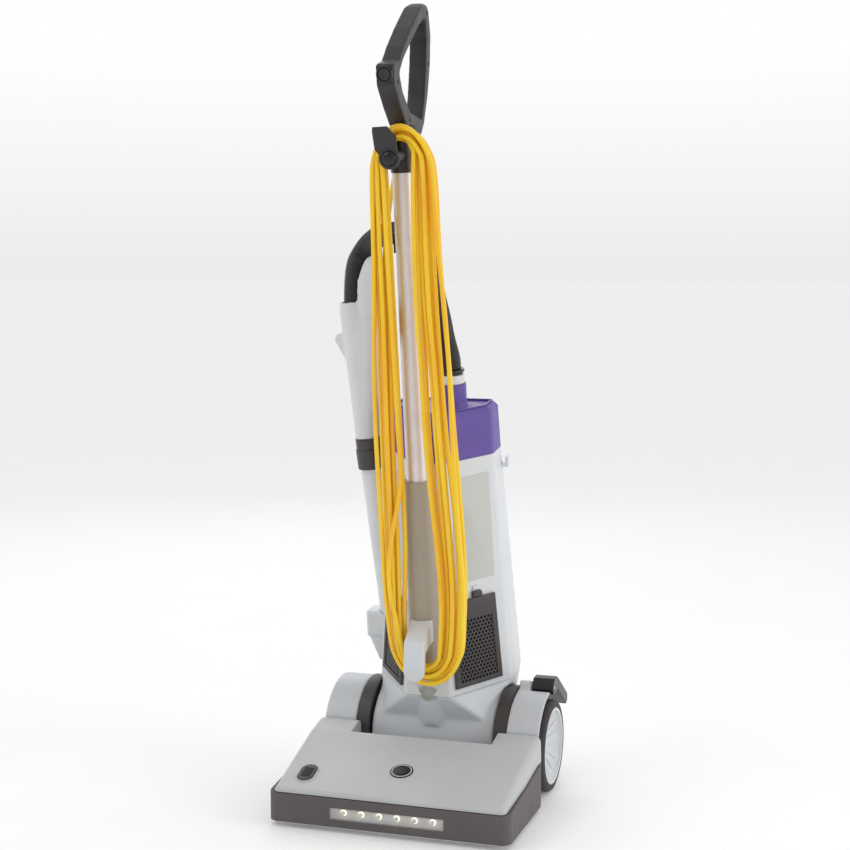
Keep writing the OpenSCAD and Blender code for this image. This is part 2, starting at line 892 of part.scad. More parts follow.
module hose_clip() {
    color(c_black) in_upright() difference() {
        union() {
            translate([0, -tube_v, 812]) cylinder(r = tube_r + 3, h = 30);
            on_hose() cylinder(r = hose_r + 4, h = 16, center = true);
            box([-10, -72, 814], [6, -52, 840]);
        }
        // Bore and front opening of the half that grips the tube
        translate([0, -tube_v, 800]) cylinder(r = tube_r, h = 60);
        box([-30, -120, 800], [30, -tube_v - 4, 860]);
        // Bore and mouth of the half that holds the hose
        sweep(hose_route, hose_r + 1, 16, 2, [1, 0, 0], 10, 24);
        on_hose() box([-40, -40, -20], [40, -9, 20]);
    }
}

// Puts a part on the hose where it passes the clip: Z along the hose, Y to the front
module on_hose() {
    translate(hose_route[8]) rotate([0, 60.2, 161]) children();
}

module wand_socket() {
    color(c_light) difference() {
        in_upright() {
            hull() {
                box([-146, 44, 140], [-90, 78, 184]);
                box([-142, 40, 144], [-90, 82, 180]);
            }
            hull() {
                box([-142, 44, 138], [-90, 78, 142]);
                box([-126, 44, 98], [-90, 78, 100]);
            }
        }
        in_upright() shell_channel_body();
        in_wand() cylinder(r = wand_r + 0.3, h = 200);
        // Relief below the wand's foot
        in_wand() translate([0, 0, -20]) cylinder(r = wand_r - 4, h = 60);
    }
}

// The bag housing's solid form with the wand's channel, for parts that lie against it
module shell_channel_body() {
    difference() {
        shell_form();
        translate(wand_at) rotate([0, -wand_splay, 0])
            translate([0, 0, -40]) cylinder(r = wand_r + 4, h = 460);
    }
}

module lid_hinge_pin() {
    color(c_metal) in_upright() rod_x(3, -42, 42, hinge_v, hinge_w);
}

module lid_form(inset, drop) {
    hull() {
        translate([0, 0, shell_high + lid_gap - drop]) linear_extrude(1)
            section(high_section, inset);
        translate([0, 0, lid_top - 8 - inset]) linear_extrude(1) section(high_section, inset + 2);
        translate([0, 0, lid_top - 1 - inset]) linear_extrude(1) section(high_section, inset + 7);
    }
}

module lid() {
    color(c_purple) {
        in_upright() difference() {
            lid_form(0, 0);
            lid_form(wall, 5);
            translate([port_at.x, port_at.y, 480]) cylinder(r = port_r - 5, h = 200);
        }
        in_upright() translate([port_at.x, port_at.y, lid_top - wall + 1]) difference() {
            cylinder(r = port_r, h = port_top - lid_top + wall - 1);
            translate([0, 0, -1]) cylinder(r = port_r - 5, h = 100);
        }
        // Knuckle of the hinge
        in_upright() difference() {
            union() {
                rod_x(5, -31, 31, hinge_v, hinge_w);
                box([-31, 102, shell_high + 1.5], [31, hinge_v, shell_high + 11]);
            }
            rod_x(3 + running_gap, -40, 40, hinge_v, hinge_w);
        }
        // Ears and pin of the latch
        in_upright() {
            for (a = [-14.5, 12]) box([a, latch_v - 3.5, latch_w - 4], [a + 2.5, -26.5, latch_w + 4]);
            rod_x(2, -13, 13, latch_v, latch_w);
        }
    }
}

module hose_cuff() {
    color(c_light) in_upright() translate([port_at.x, port_at.y, 0]) difference() {
        union() {
            translate([0, 0, port_top]) cylinder(r = 22, h = 15);
            translate([0, 0, port_top - 30]) cylinder(r = port_r - 5, h = 40);
            translate([0, 0, port_top + 15]) cylinder(r = 21, h = cuff_top - port_top - 15);
        }
        translate([0, 0, port_top - 31]) cylinder(r = 15, h = 80);
    }
}

module lid_latch() {
    color(c_black) in_upright() difference() {
        union() {
            box([-11.5, latch_v - 5, 452.5], [11.5, latch_v - 1.5, 506]);
            box([-11.5, latch_v - 5, 452.5], [11.5, -32, 455.5]);
            rod_x(4, -11.5, 11.5, latch_v, latch_w);
        }
        rod_x(2 + running_gap, -20, 20, latch_v, latch_w);
    }
}

// ---------------------------------------------------------------- wand and hose

module wand_tube() {
    color(c_light) in_wand() difference() {
        translate([0, 0, 2]) cylinder(r = wand_r, h = wand_len - 2);
        translate([0, 0, -1]) cylinder(r = wand_r - 2, h = wand_len + 10);
    }
}

module wand_collar() {
    color(c_dark) in_wand() difference() {
        union() {
            translate([0, 0, 325]) cylinder(r = 23, h = 33);
            translate([0, 0, 358]) cylinder(r = 21.5, h = 18);
        }
        translate([0, 0, 300]) cylinder(r = wand_r, h = 100);
    }
}

module wand_handle() {
    color(c_light) in_wand() difference() {
        union() {
            // Body of the handle
            hull() {
                translate([0, 0, 376]) cylinder(r = 20.5, h = 2, $fn = hull_fn);
                translate([4, 0, 590]) cylinder(r = 22, h = 2, $fn = hull_fn);
                translate([30, 0, 590]) cylinder(r = 19, h = 2, $fn = hull_fn);
            }
            // Grip that carries on upwards beside the hose and partly in front of it
            hull() {
                translate([31, 0, 580]) cylinder(r = 22, h = 2, $fn = hull_fn);
                translate([40, 0, 638]) cylinder(r = 23, h = 2, $fn = hull_fn);
                translate([54, 0, 662]) sphere(r = 22, $fn = 24);
            }
            translate([6, 0, 560]) cylinder(r = 22.5, h = 46);
            // Lug on the outer side
            hull() {
                rod_y(9, -8, 8, -24, 545, $fn = hull_fn);
                rod_y(6, -8, 8, -8, 500, $fn = hull_fn);
                rod_y(6, -8, 8, -8, 550, $fn = hull_fn);
            }
        }
        translate([6, 0, 560]) cylinder(r = hose_r + 0.4, h = 60);
        translate([2, 0, 370]) cylinder(r = 14, h = 195);
        // Room for the hose where it bends away from the grip
        rotate([0, wand_splay, 0]) translate(-wand_at)
            sweep(hose_route, hose_r + 1, 12, 2, [1, 0, 0], 24);
    }
}

module hose_lid_side() {
    color(c_black) in_upright() sweep(hose_route, hose_r, 12, 2, [1, 0, 0], 0, hose_join);
}

module hose_wand_side() {
    color(c_black) in_upright() sweep(hose_route, hose_r, 12, 2, [1, 0, 0], hose_join);
}

// ---------------------------------------------------------------- mains cord

module strain_relief() {
    color(c_black) in_upright() {
        rod_y(4, -tube_v + tube_r, -64, 0, lead_w);
        translate([0, -64, lead_w]) rotate([-90, 0, 0]) cylinder(r1 = 8, r2 = 5, h = 18);
    }
}

module cord_lead() {
    color(c_cord) in_upright() sweep(lead_route, cord_d / 2, 10, 2, [1, 0, 0]);
}

// The wound cord between the two hooks: outer and inner outline of the hank
module hank_outline(inner) {
    rings = inner
        ? [[6, hook_w - 4, 20], [14, 300, 26], [8.5, 190, 26]]
        : [[14, hook_w, 50], [17, 300, 68], [17.5, 187, 55]];
    hull() for (p = rings) translate([p.x, p.y]) circle(p.z, $fn = hull_fn);
}

module cord_hank() {
    color(c_cord) in_upright() translate([0, -107, 0]) rotate([90, 0, 0]) linear_extrude(27)
        difference() {
            hank_outline(false);
            hank_outline(true);
        }
}

module mains_plug() {
    color(c_cord) in_upright() translate([-34, -94, 690]) {
        cylinder(r = 12, h = 28);
        translate([0, 0, 28]) cylinder(r1 = 12, r2 = 5.5, h = 24);
        translate([0, 0, -4]) cylinder(r = 13, h = 4);
    }
    color(c_metal) in_upright() translate([-34, -94, 686]) {
        for (s = [-1, 1]) box([s * 6 - 0.8, -3, -16], [s * 6 + 0.8, 3, 0]);
        translate([0, 6, -18]) cylinder(r = 2.4, h = 18);
    }
}

base_chassis();
front_bumper();
base_cover();
sole_plate();
sole_plate_screws();
headlight_lens();
headlight_board();
badge();
left_fender();
right_fender();
left_pivot_bracket();
right_pivot_bracket();
pivot_bushes();
wheel_axles();
brush_motor();
drive_belt();
suction_duct();
brush_core();
brush_bristles();
motor_pulley();
left_wheel_hub();
left_wheel_tyre();
right_wheel_hub();
right_wheel_tyre();
left_roller();
right_roller();
release_pedal();
oval_button();
motor_housing();
suction_motor();
suction_fan();
body_shell();
column_cover();
lower_cord_hook();
left_grille_cover();
right_grille_cover();
filter_bag();
main_tube();
handle_collar();
handle_left_shell();
handle_right_shell();
handle_screws();
hose_clip();
wand_socket();
lid_hinge_pin();
lid();
hose_cuff();
lid_latch();
wand_tube();
wand_collar();
wand_handle();
hose_lid_side();
hose_wand_side();
cord_hook();
power_button();
strain_relief();
cord_lead();
cord_hank();
mains_plug();
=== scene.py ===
"""Looks of an upright vacuum cleaner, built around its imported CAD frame. Everything is in metres."""

import json
import math

import bmesh
import bpy
from mathutils import Matrix, Vector


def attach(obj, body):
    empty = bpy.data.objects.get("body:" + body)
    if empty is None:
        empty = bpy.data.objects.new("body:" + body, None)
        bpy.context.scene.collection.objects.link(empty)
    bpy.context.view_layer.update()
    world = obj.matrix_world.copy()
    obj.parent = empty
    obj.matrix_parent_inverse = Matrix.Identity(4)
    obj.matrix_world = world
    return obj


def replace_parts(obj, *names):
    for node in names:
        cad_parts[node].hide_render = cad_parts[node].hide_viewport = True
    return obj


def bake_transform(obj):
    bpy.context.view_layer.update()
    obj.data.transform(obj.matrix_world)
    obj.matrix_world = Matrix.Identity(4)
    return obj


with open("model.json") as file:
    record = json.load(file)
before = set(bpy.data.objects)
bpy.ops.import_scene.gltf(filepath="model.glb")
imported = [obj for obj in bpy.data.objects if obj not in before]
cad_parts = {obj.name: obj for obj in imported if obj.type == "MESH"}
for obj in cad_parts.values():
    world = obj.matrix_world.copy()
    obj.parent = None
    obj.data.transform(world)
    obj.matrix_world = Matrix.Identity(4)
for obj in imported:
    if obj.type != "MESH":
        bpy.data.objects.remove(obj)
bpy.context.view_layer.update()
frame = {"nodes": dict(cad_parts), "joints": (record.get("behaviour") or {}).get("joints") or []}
nodes = frame["nodes"]
joints = {joint["name"]: joint for joint in frame["joints"]}
scene = bpy.context.scene
MM = 0.001

# ---------------------------------------------------------------- frames
# The upright's own directions are x across, v back and w up from its pivot, in millimetres.
PIVOT = Vector(joints["upright_recline"]["pos_m"])
BACK = Vector(joints["switch_press"]["axis"])
LEAN = math.atan2(BACK.z, BACK.y)
UPRIGHT = Matrix.Translation(PIVOT) @ Matrix.Rotation(LEAN, 4, "X")
PANEL_AT = Vector((63.2, -48.8, 95)) * MM
PANEL_TURN = math.radians(52.3)
PANEL_TILT = math.radians(6.1)
PORT = (21.5, 45)
BACK_V = 104
LID_TOP = 545


def shift(x, y, z):
    """Move by millimetres."""
    return Matrix.Translation(Vector((x, y, z)) * MM)


def up(x, v, w):
    """A point of the upright, in metres."""
    return UPRIGHT @ (Vector((x, v, w)) * MM)


def along_v(x, v, w):
    """Frame at a point of the upright whose z axis looks forward."""
    return UPRIGHT @ shift(x, v, w) @ Matrix.Rotation(math.pi / 2, 4, "X")


def at_port(w):
    """Frame on the axis of the lid's port."""
    return UPRIGHT @ shift(*PORT, w)


def panel(side):
    """Frame of a slanted front panel: x along it, -y outwards, z up it, mirrored for the left one."""
    mirror = Matrix.Diagonal((side, 1, 1, 1))
    place = Matrix.Translation(PANEL_AT) @ Matrix.Rotation(PANEL_TURN, 4, "Z")
    return UPRIGHT @ mirror @ place @ Matrix.Rotation(-PANEL_TILT, 4, "X")


# ---------------------------------------------------------------- camera
CAMERA_AT = (0.801, -2.473, 0.866)
CAMERA_YAW = math.radians(18)
CAMERA_PITCH = math.radians(5.7)
camera_data = bpy.data.cameras.new("camera")
camera_data.lens = 69.9
camera = bpy.data.objects.new("camera", camera_data)
camera.location = CAMERA_AT
camera.rotation_euler = (math.radians(90) - CAMERA_PITCH, 0, CAMERA_YAW)
scene.collection.objects.link(camera)
scene.camera = camera


# ---------------------------------------------------------------- material helpers
def linear(r, g, b):
    """Linear colour of an sRGB colour given from 0 to 255."""
    shares = (c / 255 for c in (r, g, b))
    return tuple(s / 12.92 if s <= 0.04045 else ((s + 0.055) / 1.055) ** 2.4 for s in shares) + (1,)


def new_material(name, rough, metallic=0.0, coat=0.0, **more):
    """A material with one shader, whose even values sit on its own sockets."""
    material = bpy.data.materials.new("look_" + name)
    material.use_nodes = True
    shader = material.node_tree.nodes["Principled BSDF"]
    shader.inputs["Roughness"].default_value = rough
    shader.inputs["Metallic"].default_value = metallic
    shader.inputs["Coat Weight"].default_value = coat
    shader.inputs["Coat Roughness"].default_value = 0.25
    for socket, value in more.items():
        shader.inputs[socket.replace("_", " ")].default_value = value
    return material, material.node_tree.nodes, material.node_tree.links, shader


def noise_node(graph, links, scale, detail, stretch=(1, 1, 1)):
    """Noise in the object's own coordinates, which are the row frame's."""
    place = graph.new("ShaderNodeTexCoord")
    size = graph.new("ShaderNodeMapping")
    size.inputs["Scale"].default_value = stretch
    pattern = graph.new("ShaderNodeTexNoise")
    pattern.inputs["Scale"].default_value = scale
    pattern.inputs["Detail"].default_value = detail
    links.new(place.outputs["Object"], size.inputs["Vector"])
    links.new(size.outputs["Vector"], pattern.inputs["Vector"])
    return pattern


def spread_of(graph, links, source, low, high, source_low=0.3, source_high=0.7):
    """The source's range, by default the middle of a noise, turned into values from low to high."""
    remap = graph.new("ShaderNodeMapRange")
    remap.inputs["From Min"].default_value = source_low
    remap.inputs["From Max"].default_value = source_high
    remap.inputs["To Min"].default_value = low
    remap.inputs["To Max"].default_value = high
    links.new(source, remap.inputs["Value"])
    return remap.outputs["Result"]


def tinted(graph, links, shader, source, dark, light):
    """Base colour that drifts between two colours with a noise."""
    mix = graph.new("ShaderNodeMix")
    mix.data_type = "RGBA"
    factor, first, second = (mix.inputs[i] for i in (0, 6, 7))
    first.default_value, second.default_value = dark, light
    links.new(spread_of(graph, links, source.outputs["Fac"], 0, 1), factor)
    colour = mix.outputs[2]
    links.new(colour, shader.inputs["Base Color"])
    return colour


def worn(graph, links, shader, source, low, high):
    """Roughness that varies with a noise."""
    links.new(spread_of(graph, links, source.outputs["Fac"], low, high), shader.inputs["Roughness"])


def scaled(colour, factor):
    """The colour made lighter or darker."""
    return tuple(min(1.0, c * factor) for c in colour[:3]) + (1,)


def bump_from(graph, links, shader, source, strength, distance):
    """Fine relief from a noise."""
    bump = graph.new("ShaderNodeBump")
    bump.inputs["Strength"].default_value = strength
    bump.inputs["Distance"].default_value = distance
    links.new(source.outputs["Fac"], bump.inputs["Height"])
    links.new(bump.outputs["Normal"], shader.inputs["Normal"])


def moulded(name, colour, rough, grain=0.25, grain_scale=1400, drift=0.05, scuff=0.06, **more):
    """Moulded plastic: fine spark-eroded grain, faint colour drift and uneven gloss."""
    material, graph, links, shader = new_material(name, rough, **more)
    dark, light = scaled(colour, 1 - drift), scaled(colour, 1 + drift)
    tinted(graph, links, shader, noise_node(graph, links, 7, 4), dark, light)
    worn(graph, links, shader, noise_node(graph, links, 60, 5, (1, 1, 0.25)), rough - scuff, rough + scuff)
    bump_from(graph, links, shader, noise_node(graph, links, grain_scale, 2), grain, 0.00025)
    return material


def brushed(name, colour, rough, stretch, lines=0.12):
    """Metal with fine drawn lines along one direction."""
    material, graph, links, shader = new_material(name, rough, metallic=1.0)
    tinted(graph, links, shader, noise_node(graph, links, 12, 3), scaled(colour, 0.93), scaled(colour, 1.04))
    drawn = noise_node(graph, links, 260, 4, stretch)
    worn(graph, links, shader, drawn, rough - 0.05, rough + 0.07)
    bump_from(graph, links, shader, drawn, lines, 0.0001)
    return material


def woven(name, colour, rough, pitch):
    """Non-woven filter cloth: crossed fibres and a soft sheen."""
    material, graph, links, shader = new_material(name, rough, Sheen_Weight=0.3)
    fibres = noise_node(graph, links, 1 / pitch, 6, (1, 1, 3))
    tinted(graph, links, shader, fibres, scaled(colour, 0.8), colour)
    bump_from(graph, links, shader, fibres, 0.6, 0.0006)
    return material


def cord_sheath(name):
    """Yellow sheath with a soft gloss, which drifts towards orange along its length."""
    material, graph, links, shader = new_material(name, 0.36, coat=0.15)
    drift = noise_node(graph, links, 22, 3, (1, 1, 0.2))
    tinted(graph, links, shader, drift, linear(250, 190, 16), linear(255, 219, 40))
    worn(graph, links, shader, noise_node(graph, links, 300, 3), 0.30, 0.42)
    bump_from(graph, links, shader, noise_node(graph, links, 900, 2), 0.12, 0.0002)
    return material


def clear_plastic(name):
    """Clear lens with a faint haze."""
    material, graph, links, shader = new_material(name, 0.08, coat=0.2, Alpha=0.22)
    haze = noise_node(graph, links, 90, 3)
    worn(graph, links, shader, haze, 0.06, 0.12)
    tinted(graph, links, shader, haze, (0.82, 0.84, 0.86, 1), (0.94, 0.95, 0.97, 1))
    return material


def led_glow(name):
    """Lit lamp, warm white."""
    material, graph, links, shader = new_material(name, 0.25, Emission_Strength=2.2)
    spots = noise_node(graph, links, 400, 2)
    glow = tinted(graph, links, shader, spots, (1.0, 0.86, 0.52, 1), (1.0, 0.96, 0.8, 1))
    links.new(glow, shader.inputs["Emission Color"])
    return material


# ---------------------------------------------------------------- materials
COVER_GREY = moulded("cover_grey", linear(190, 191, 192), 0.42)
BODY_GREY = moulded("body_grey", linear(217, 220, 223), 0.40)
FENDER_GREY = moulded("fender_grey", linear(206, 210, 215), 0.38)
# Darker grey for faces and hollows that lie in shade: painted shade, not the plastic's own colour
PAINTED_SHADE_GREY = moulded("painted_shade_grey", linear(196, 199, 195), 0.45)
TAUPE = moulded("column_taupe", linear(168, 161, 149), 0.42)
DARK = moulded("dark_grey", linear(66, 61, 61), 0.45, drift=0.10)
HANDLE_DARK = moulded("handle_dark", linear(42, 39, 41), 0.42, drift=0.10)
BUMPER = moulded("bumper_vinyl", linear(92, 86, 86), 0.62, grain=0.4, grain_scale=800, drift=0.08)
BLACK = moulded("black_plastic", linear(34, 33, 35), 0.35, drift=0.12)
BADGE_BLACK = moulded("badge_black", linear(18, 18, 20), 0.20, grain=0.05)
PURPLE = moulded("lid_purple", linear(98, 76, 158), 0.44, grain=0.15)
TYRE = moulded("tyre_rubber", linear(62, 58, 57), 0.75, grain=0.6, grain_scale=600, drift=0.12)
HOSE_BLACK = moulded("hose_black", linear(44, 42, 43), 0.42, grain=0.2, drift=0.12)
BRISTLE = moulded("bristle_nylon", linear(40, 40, 44), 0.5)
FOAM = moulded("foam_black", linear(26, 24, 24), 0.9, grain=1.0, grain_scale=420)
BOARD = moulded("board_white", linear(214, 212, 205), 0.35)
RIM_SILVER = moulded("rim_silver", linear(208, 211, 214), 0.22, grain=0.08)
TUBE = brushed("polished_tube", (0.76, 0.75, 0.79, 1), 0.50, (1, 1, 0.02), lines=0.04)
STEEL = brushed("plain_steel", (0.62, 0.62, 0.64, 1), 0.34, (0.1, 1, 1))
ALUMINIUM = brushed("cast_aluminium", (0.70, 0.71, 0.73, 1), 0.45, (1, 1, 1), lines=0.3)
BRASS = brushed("sintered_bronze", (0.60, 0.44, 0.22, 1), 0.42, (1, 1, 1), lines=0.3)
FILTER = woven("filter_cloth", linear(228, 224, 210), 0.85, 0.0012)
CORD = cord_sheath("cord_yellow")
LENS = clear_plastic("lens_clear")
LED = led_glow("led_glow")


# ---------------------------------------------------------------- mesh helpers
def piece_from(name, mesh, body, material, angle=35):
    """Links a mesh as a piece that rides on a CAD body, smooth but for edges sharper than the angle."""
    mesh.materials.clear()
    mesh.materials.append(material)
    mesh.shade_smooth()
    mesh.set_sharp_from_angle(angle=math.radians(angle))
    piece = bpy.data.objects.new(name, mesh)
    scene.collection.objects.link(piece)
    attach(piece, body)
    return piece


def mesh_from(name, verts, faces):
    """A mesh from points in metres and faces of their numbers."""
    mesh = bpy.data.meshes.new(name)
    mesh.from_pydata([tuple(v) for v in verts], [], faces)
    mesh.update()
    return mesh


def bmesh_to(name, shape, place=None):
    """A mesh from a bmesh, moved to its place; a mirroring place keeps the faces outwards."""
    bmesh.ops.recalc_face_normals(shape, faces=shape.faces)
    mesh = bpy.data.meshes.new(name)
    shape.to_mesh(mesh)
    shape.free()
    if place is not None:
        mesh.transform(place)
        if place.determinant() < 0:
            mesh.flip_normals()
    return mesh


def tube_faces(rings, sides, capped=True):
    """Faces between numbered rings of points, with a cap on both ends."""
    faces = []
    for i in range(rings - 1):
        for k in range(sides):
            n = (k + 1) % sides
            faces.append((i * sides + k, i * sides + n, (i + 1) * sides + n, (i + 1) * sides + k))
    if capped:
        faces.append(tuple(reversed(range(sides))))
        faces.append(tuple((rings - 1) * sides + k for k in range(sides)))
    return faces


def revolved(name, profile, place, sides):
    """A turned mesh from (radius, height) points in millimetres, about the place's own z axis."""
    verts = []
    for radius, height in profile:
        for k in range(sides):
            turn = 2 * math.pi * k / sides
            verts.append((radius * math.cos(turn) * MM, radius * math.sin(turn) * MM, height * MM))
    mesh = mesh_from(name, verts, tube_faces(len(profile), sides, capped=profile[-1] != profile[0]))
    shape = bmesh.new()
    shape.from_mesh(mesh)
    bmesh.ops.remove_doubles(shape, verts=shape.verts, dist=1e-6)
    bpy.data.meshes.remove(mesh)
    return bmesh_to(name, shape, place)


def add_turned(shape, profile, place, sides):
    """Adds a turned form to a bmesh."""
    mesh = revolved("added", profile, place, sides)
    shape.from_mesh(mesh)
    bpy.data.meshes.remove(mesh)


def turned(name, profile, place, sides, body, material, angle=35):
    """A turned piece."""
    return piece_from(name, revolved(name, profile, place, sides), body, material, angle)


def rounded_outline(points, radius, steps=6):
    """A closed outline with every corner turned into an arc."""
    out = []
    count = len(points)
    for i in range(count):
        before, at, after = (Vector(points[(i + d) % count]) for d in (-1, 0, 1))
        a, b = (before - at).normalized(), (after - at).normalized()
        half = a.angle(b) / 2
        reach = min(radius / math.tan(half), 0.45 * (before - at).length, 0.45 * (after - at).length)
        centre = at + (a + b).normalized() * (reach * math.tan(half) / math.sin(half))
        start, end = at + a * reach - centre, at + b * reach - centre
        for k in range(steps + 1):
            out.append(centre + start.slerp(end, k / steps))
    return out


def thicken(shape, depth):
    """Gives a flat bmesh a thickness along y."""
    grown = bmesh.ops.extrude_face_region(shape, geom=list(shape.faces))
    moved = [v for v in grown["geom"] if isinstance(v, bmesh.types.BMVert)]
    bmesh.ops.translate(shape, verts=moved, vec=(0, depth * MM, 0))


def prism(outline, low, high, bevel, holes=(), segments=2):
    """A bmesh slab: the outline (x, z) in millimetres, from y = low to y = high, its edges rounded."""
    shape = bmesh.new()
    loops = [outline, *holes]
    edges = []
    for loop in loops:
        ring = [shape.verts.new((p[0] * MM, low * MM, p[1] * MM)) for p in loop]
        edges += [shape.edges.new((ring[i], ring[(i + 1) % len(ring)])) for i in range(len(ring))]
    if holes:
        bmesh.ops.triangle_fill(shape, use_beauty=True, use_dissolve=True, edges=edges)
    else:
        bmesh.ops.contextual_create(shape, geom=edges)
    thicken(shape, high - low)
    bmesh.ops.recalc_face_normals(shape, faces=shape.faces)
    rims = [
        e for e in shape.edges
        if len(e.link_faces) == 2 and abs(e.verts[0].co.y - e.verts[1].co.y) < 1e-7
        and e.link_faces[0].normal.angle(e.link_faces[1].normal, 0) > 0.7
    ]
    bmesh.ops.bevel(shape, geom=rims, offset=bevel * MM, segments=segments, profile=0.5, affect="EDGES",
                    clamp_overlap=True)
    return shape


def slab(name, outline, depths, bevel, place, body, material, hole=None, segments=2):
    """A piece cut from a sheet between two depths (y), with rounded edges and at most one hole."""
    shape = prism(outline, *depths, bevel, (hole,) if hole else (), segments)
    return piece_from(name, bmesh_to(name, shape, place), body, material)


def length_of(line):
    return sum((b - a).length for a, b in zip(line, line[1:]))


def smoothstep(t):
    return t * t * (3 - 2 * t)


def smooth_route(points, steps):
    """Catmull-Rom points through the route's own."""
    out = []
    last = len(points) - 1
    for i in range(last):
        a, b, c, d = (points[min(max(i + k, 0), last)] for k in (-1, 0, 1, 2))
        for k in range(steps):
            t = k / steps
            out.append(0.5 * (2 * b + (c - a) * t + (2 * a - 5 * b + 4 * c - d) * t * t
                              + (3 * b - a - 3 * c + d) * t ** 3))
    out.append(points[last])
    return out


def evenly(points, step):
    """The same line again, with points a step apart."""
    out, carry = [points[0]], 0.0
    for a, b in zip(points, points[1:]):
        span = (b - a).length
        at = step - carry
        while at <= span:
            out.append(a.lerp(b, at / span))
            at += step
        carry = (carry + span) % step
    if (out[-1] - points[-1]).length < 0.4 * step:
        out.pop()
    out.append(points[-1])
    return out


def swept(name, line, radius_at, sides):
    """A tube along a line, whose radius follows radius_at(distance). Returns the mesh."""
    verts = []
    normal = None
    along = 0.0
    for i, p in enumerate(line):
        forward = (line[min(i + 1, len(line) - 1)] - line[max(i - 1, 0)]).normalized()
        if normal is None:
            normal = forward.orthogonal().normalized()
        normal = (normal - forward * normal.dot(forward)).normalized()
        side = forward.cross(normal)
        if i:
            along += (p - line[i - 1]).length
        r = radius_at(along)
        for k in range(sides):
            turn = 2 * math.pi * k / sides
            verts.append(p + r * (math.cos(turn) * normal + math.sin(turn) * side))
    return mesh_from(name, verts, tube_faces(len(line), sides))


def applied(piece):
    """Makes a piece's modifiers part of its mesh."""
    graph = bpy.context.evaluated_depsgraph_get()
    mesh = bpy.data.meshes.new_from_object(piece.evaluated_get(graph))
    old = piece.data
    piece.modifiers.clear()
    piece.data = mesh
    bpy.data.meshes.remove(old)
    return mesh


def softened(name, sources, body, material, voxel, rounds, keep):
    """A moulded version of CAD nodes: the same form, with every edge and inner corner blended."""
    joined = bmesh.new()
    for source in sources:
        joined.from_mesh(nodes[source].data)
    bmesh.ops.remove_doubles(joined, verts=joined.verts, dist=1e-5)
    mesh = bpy.data.meshes.new(name)
    joined.to_mesh(mesh)
    joined.free()
    draft = bpy.data.objects.new(name + "_draft", mesh)
    scene.collection.objects.link(draft)
    remesh = draft.modifiers.new("remesh", "REMESH")
    remesh.mode = "VOXEL"
    remesh.voxel_size = voxel * MM
    smooth = draft.modifiers.new("smooth", "SMOOTH")
    smooth.factor = 0.5
    smooth.iterations = rounds
    fewer = draft.modifiers.new("fewer", "DECIMATE")
    fewer.ratio = keep
    final = applied(draft)
    bpy.data.objects.remove(draft)
    piece = piece_from(name, final, body, material, angle=70)
    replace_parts(piece, *sources)
    return piece


# ---------------------------------------------------------------- mains cord
# The lead's route is the CAD's own, and the turns follow the bundle's outline: x, v, w in millimetres.
CORD_D = 7.5
LEAD_W = 962
HUB_W = 958
LEAD_ROUTE = [
    (0, -46, LEAD_W), (0, -34, 961), (-5, -22, 957), (-15, -17, 950), (-25, -22, 940), (-29, -36, 926),
    (-28, -54, 910), (-26, -72, 893), (-25, -88, 871), (-25, -100, 845), (-26, -108, 815), (-27, -112, 780),
]
PLUG_AT = (-34, -94, 686)
# The end of the cord, down to the plug
TAIL_ROUTE = [(-39, -108, 915), (-41, -102, 870), (-41, -97, 820), (-36, -94, 775), (-34, -94, 742)]
TURNS = 8
# Edges of the two runs of the wound cord: height, left outer, left inner, right inner, right outer
RUN_EDGES = [
    (960, -36, -14.5, 28, 64), (924, -38.5, -12.5, 25, 65), (850, -42, -11.5, 22, 66),
    (745, -45, -10, 21, 71), (607, -49, -9, 25, 76), (529, -51, -9, 26, 78), (433, -51.5, -9, 31, 82),
    (336, -52, -10, 38, 86), (270, -51, -15, 41, 85.5), (224, -46.5, -18.5, 38, 81),
    (190, -40, -18.5, 34.5, 75),
]
# Folds at the two hooks: height of their foot, and how far the inner and the outer turn reach past it
TOP_W, TOP_INNER, TOP_OUTER = HUB_W, 22, 48.5
LOW_W, LOW_INNER, LOW_OUTER = 190, 30, 55
# How much sooner the outer turns start to bend than the inner ones
TOP_EARLY, LOW_EARLY = -38, 28
FOLD_STEPS = 12
# The last turn sags on the left between these heights, sideways and forward
SAG_LOW, SAG_HIGH, SAG_OUT, SAG_FORWARD = 180, 470, 21, 7
# The lead ends above this height and the first turn starts below it
START_W = 740
GOLDEN_ANGLE = 2.39996
# Where each turn lies in the bundle: from 0, inside, to 1, outside, and how far forward
TURN_SLOTS = [
    (0.50, -112), (0.94, -112), (0.06, -112), (0.30, -120), (0.74, -120), (1.0, -128), (0.52, -128),
    (0.02, -128), (0.86, -112),
]
STRAIGHT_AT = [900, 820, 730, 640, 550, 460, 370, 300, 240]


def run_at(side, w, slot):
    """x of a straight run at height w, on the left (-1) or the right (1) of the hank."""
    w = min(max(w, RUN_EDGES[-1][0]), RUN_EDGES[0][0])
    for high, low in zip(RUN_EDGES, RUN_EDGES[1:]):
        if high[0] >= w >= low[0]:
            t = smoothstep((high[0] - w) / (high[0] - low[0]))
            edges = [a + (b - a) * t for a, b in zip(high, low)]
    outer, inner = (edges[1] + CORD_D / 2, edges[2] - CORD_D / 2) if side < 0 else (
        edges[4] - CORD_D / 2, edges[3] + CORD_D / 2)
    return inner + (outer - inner) * slot


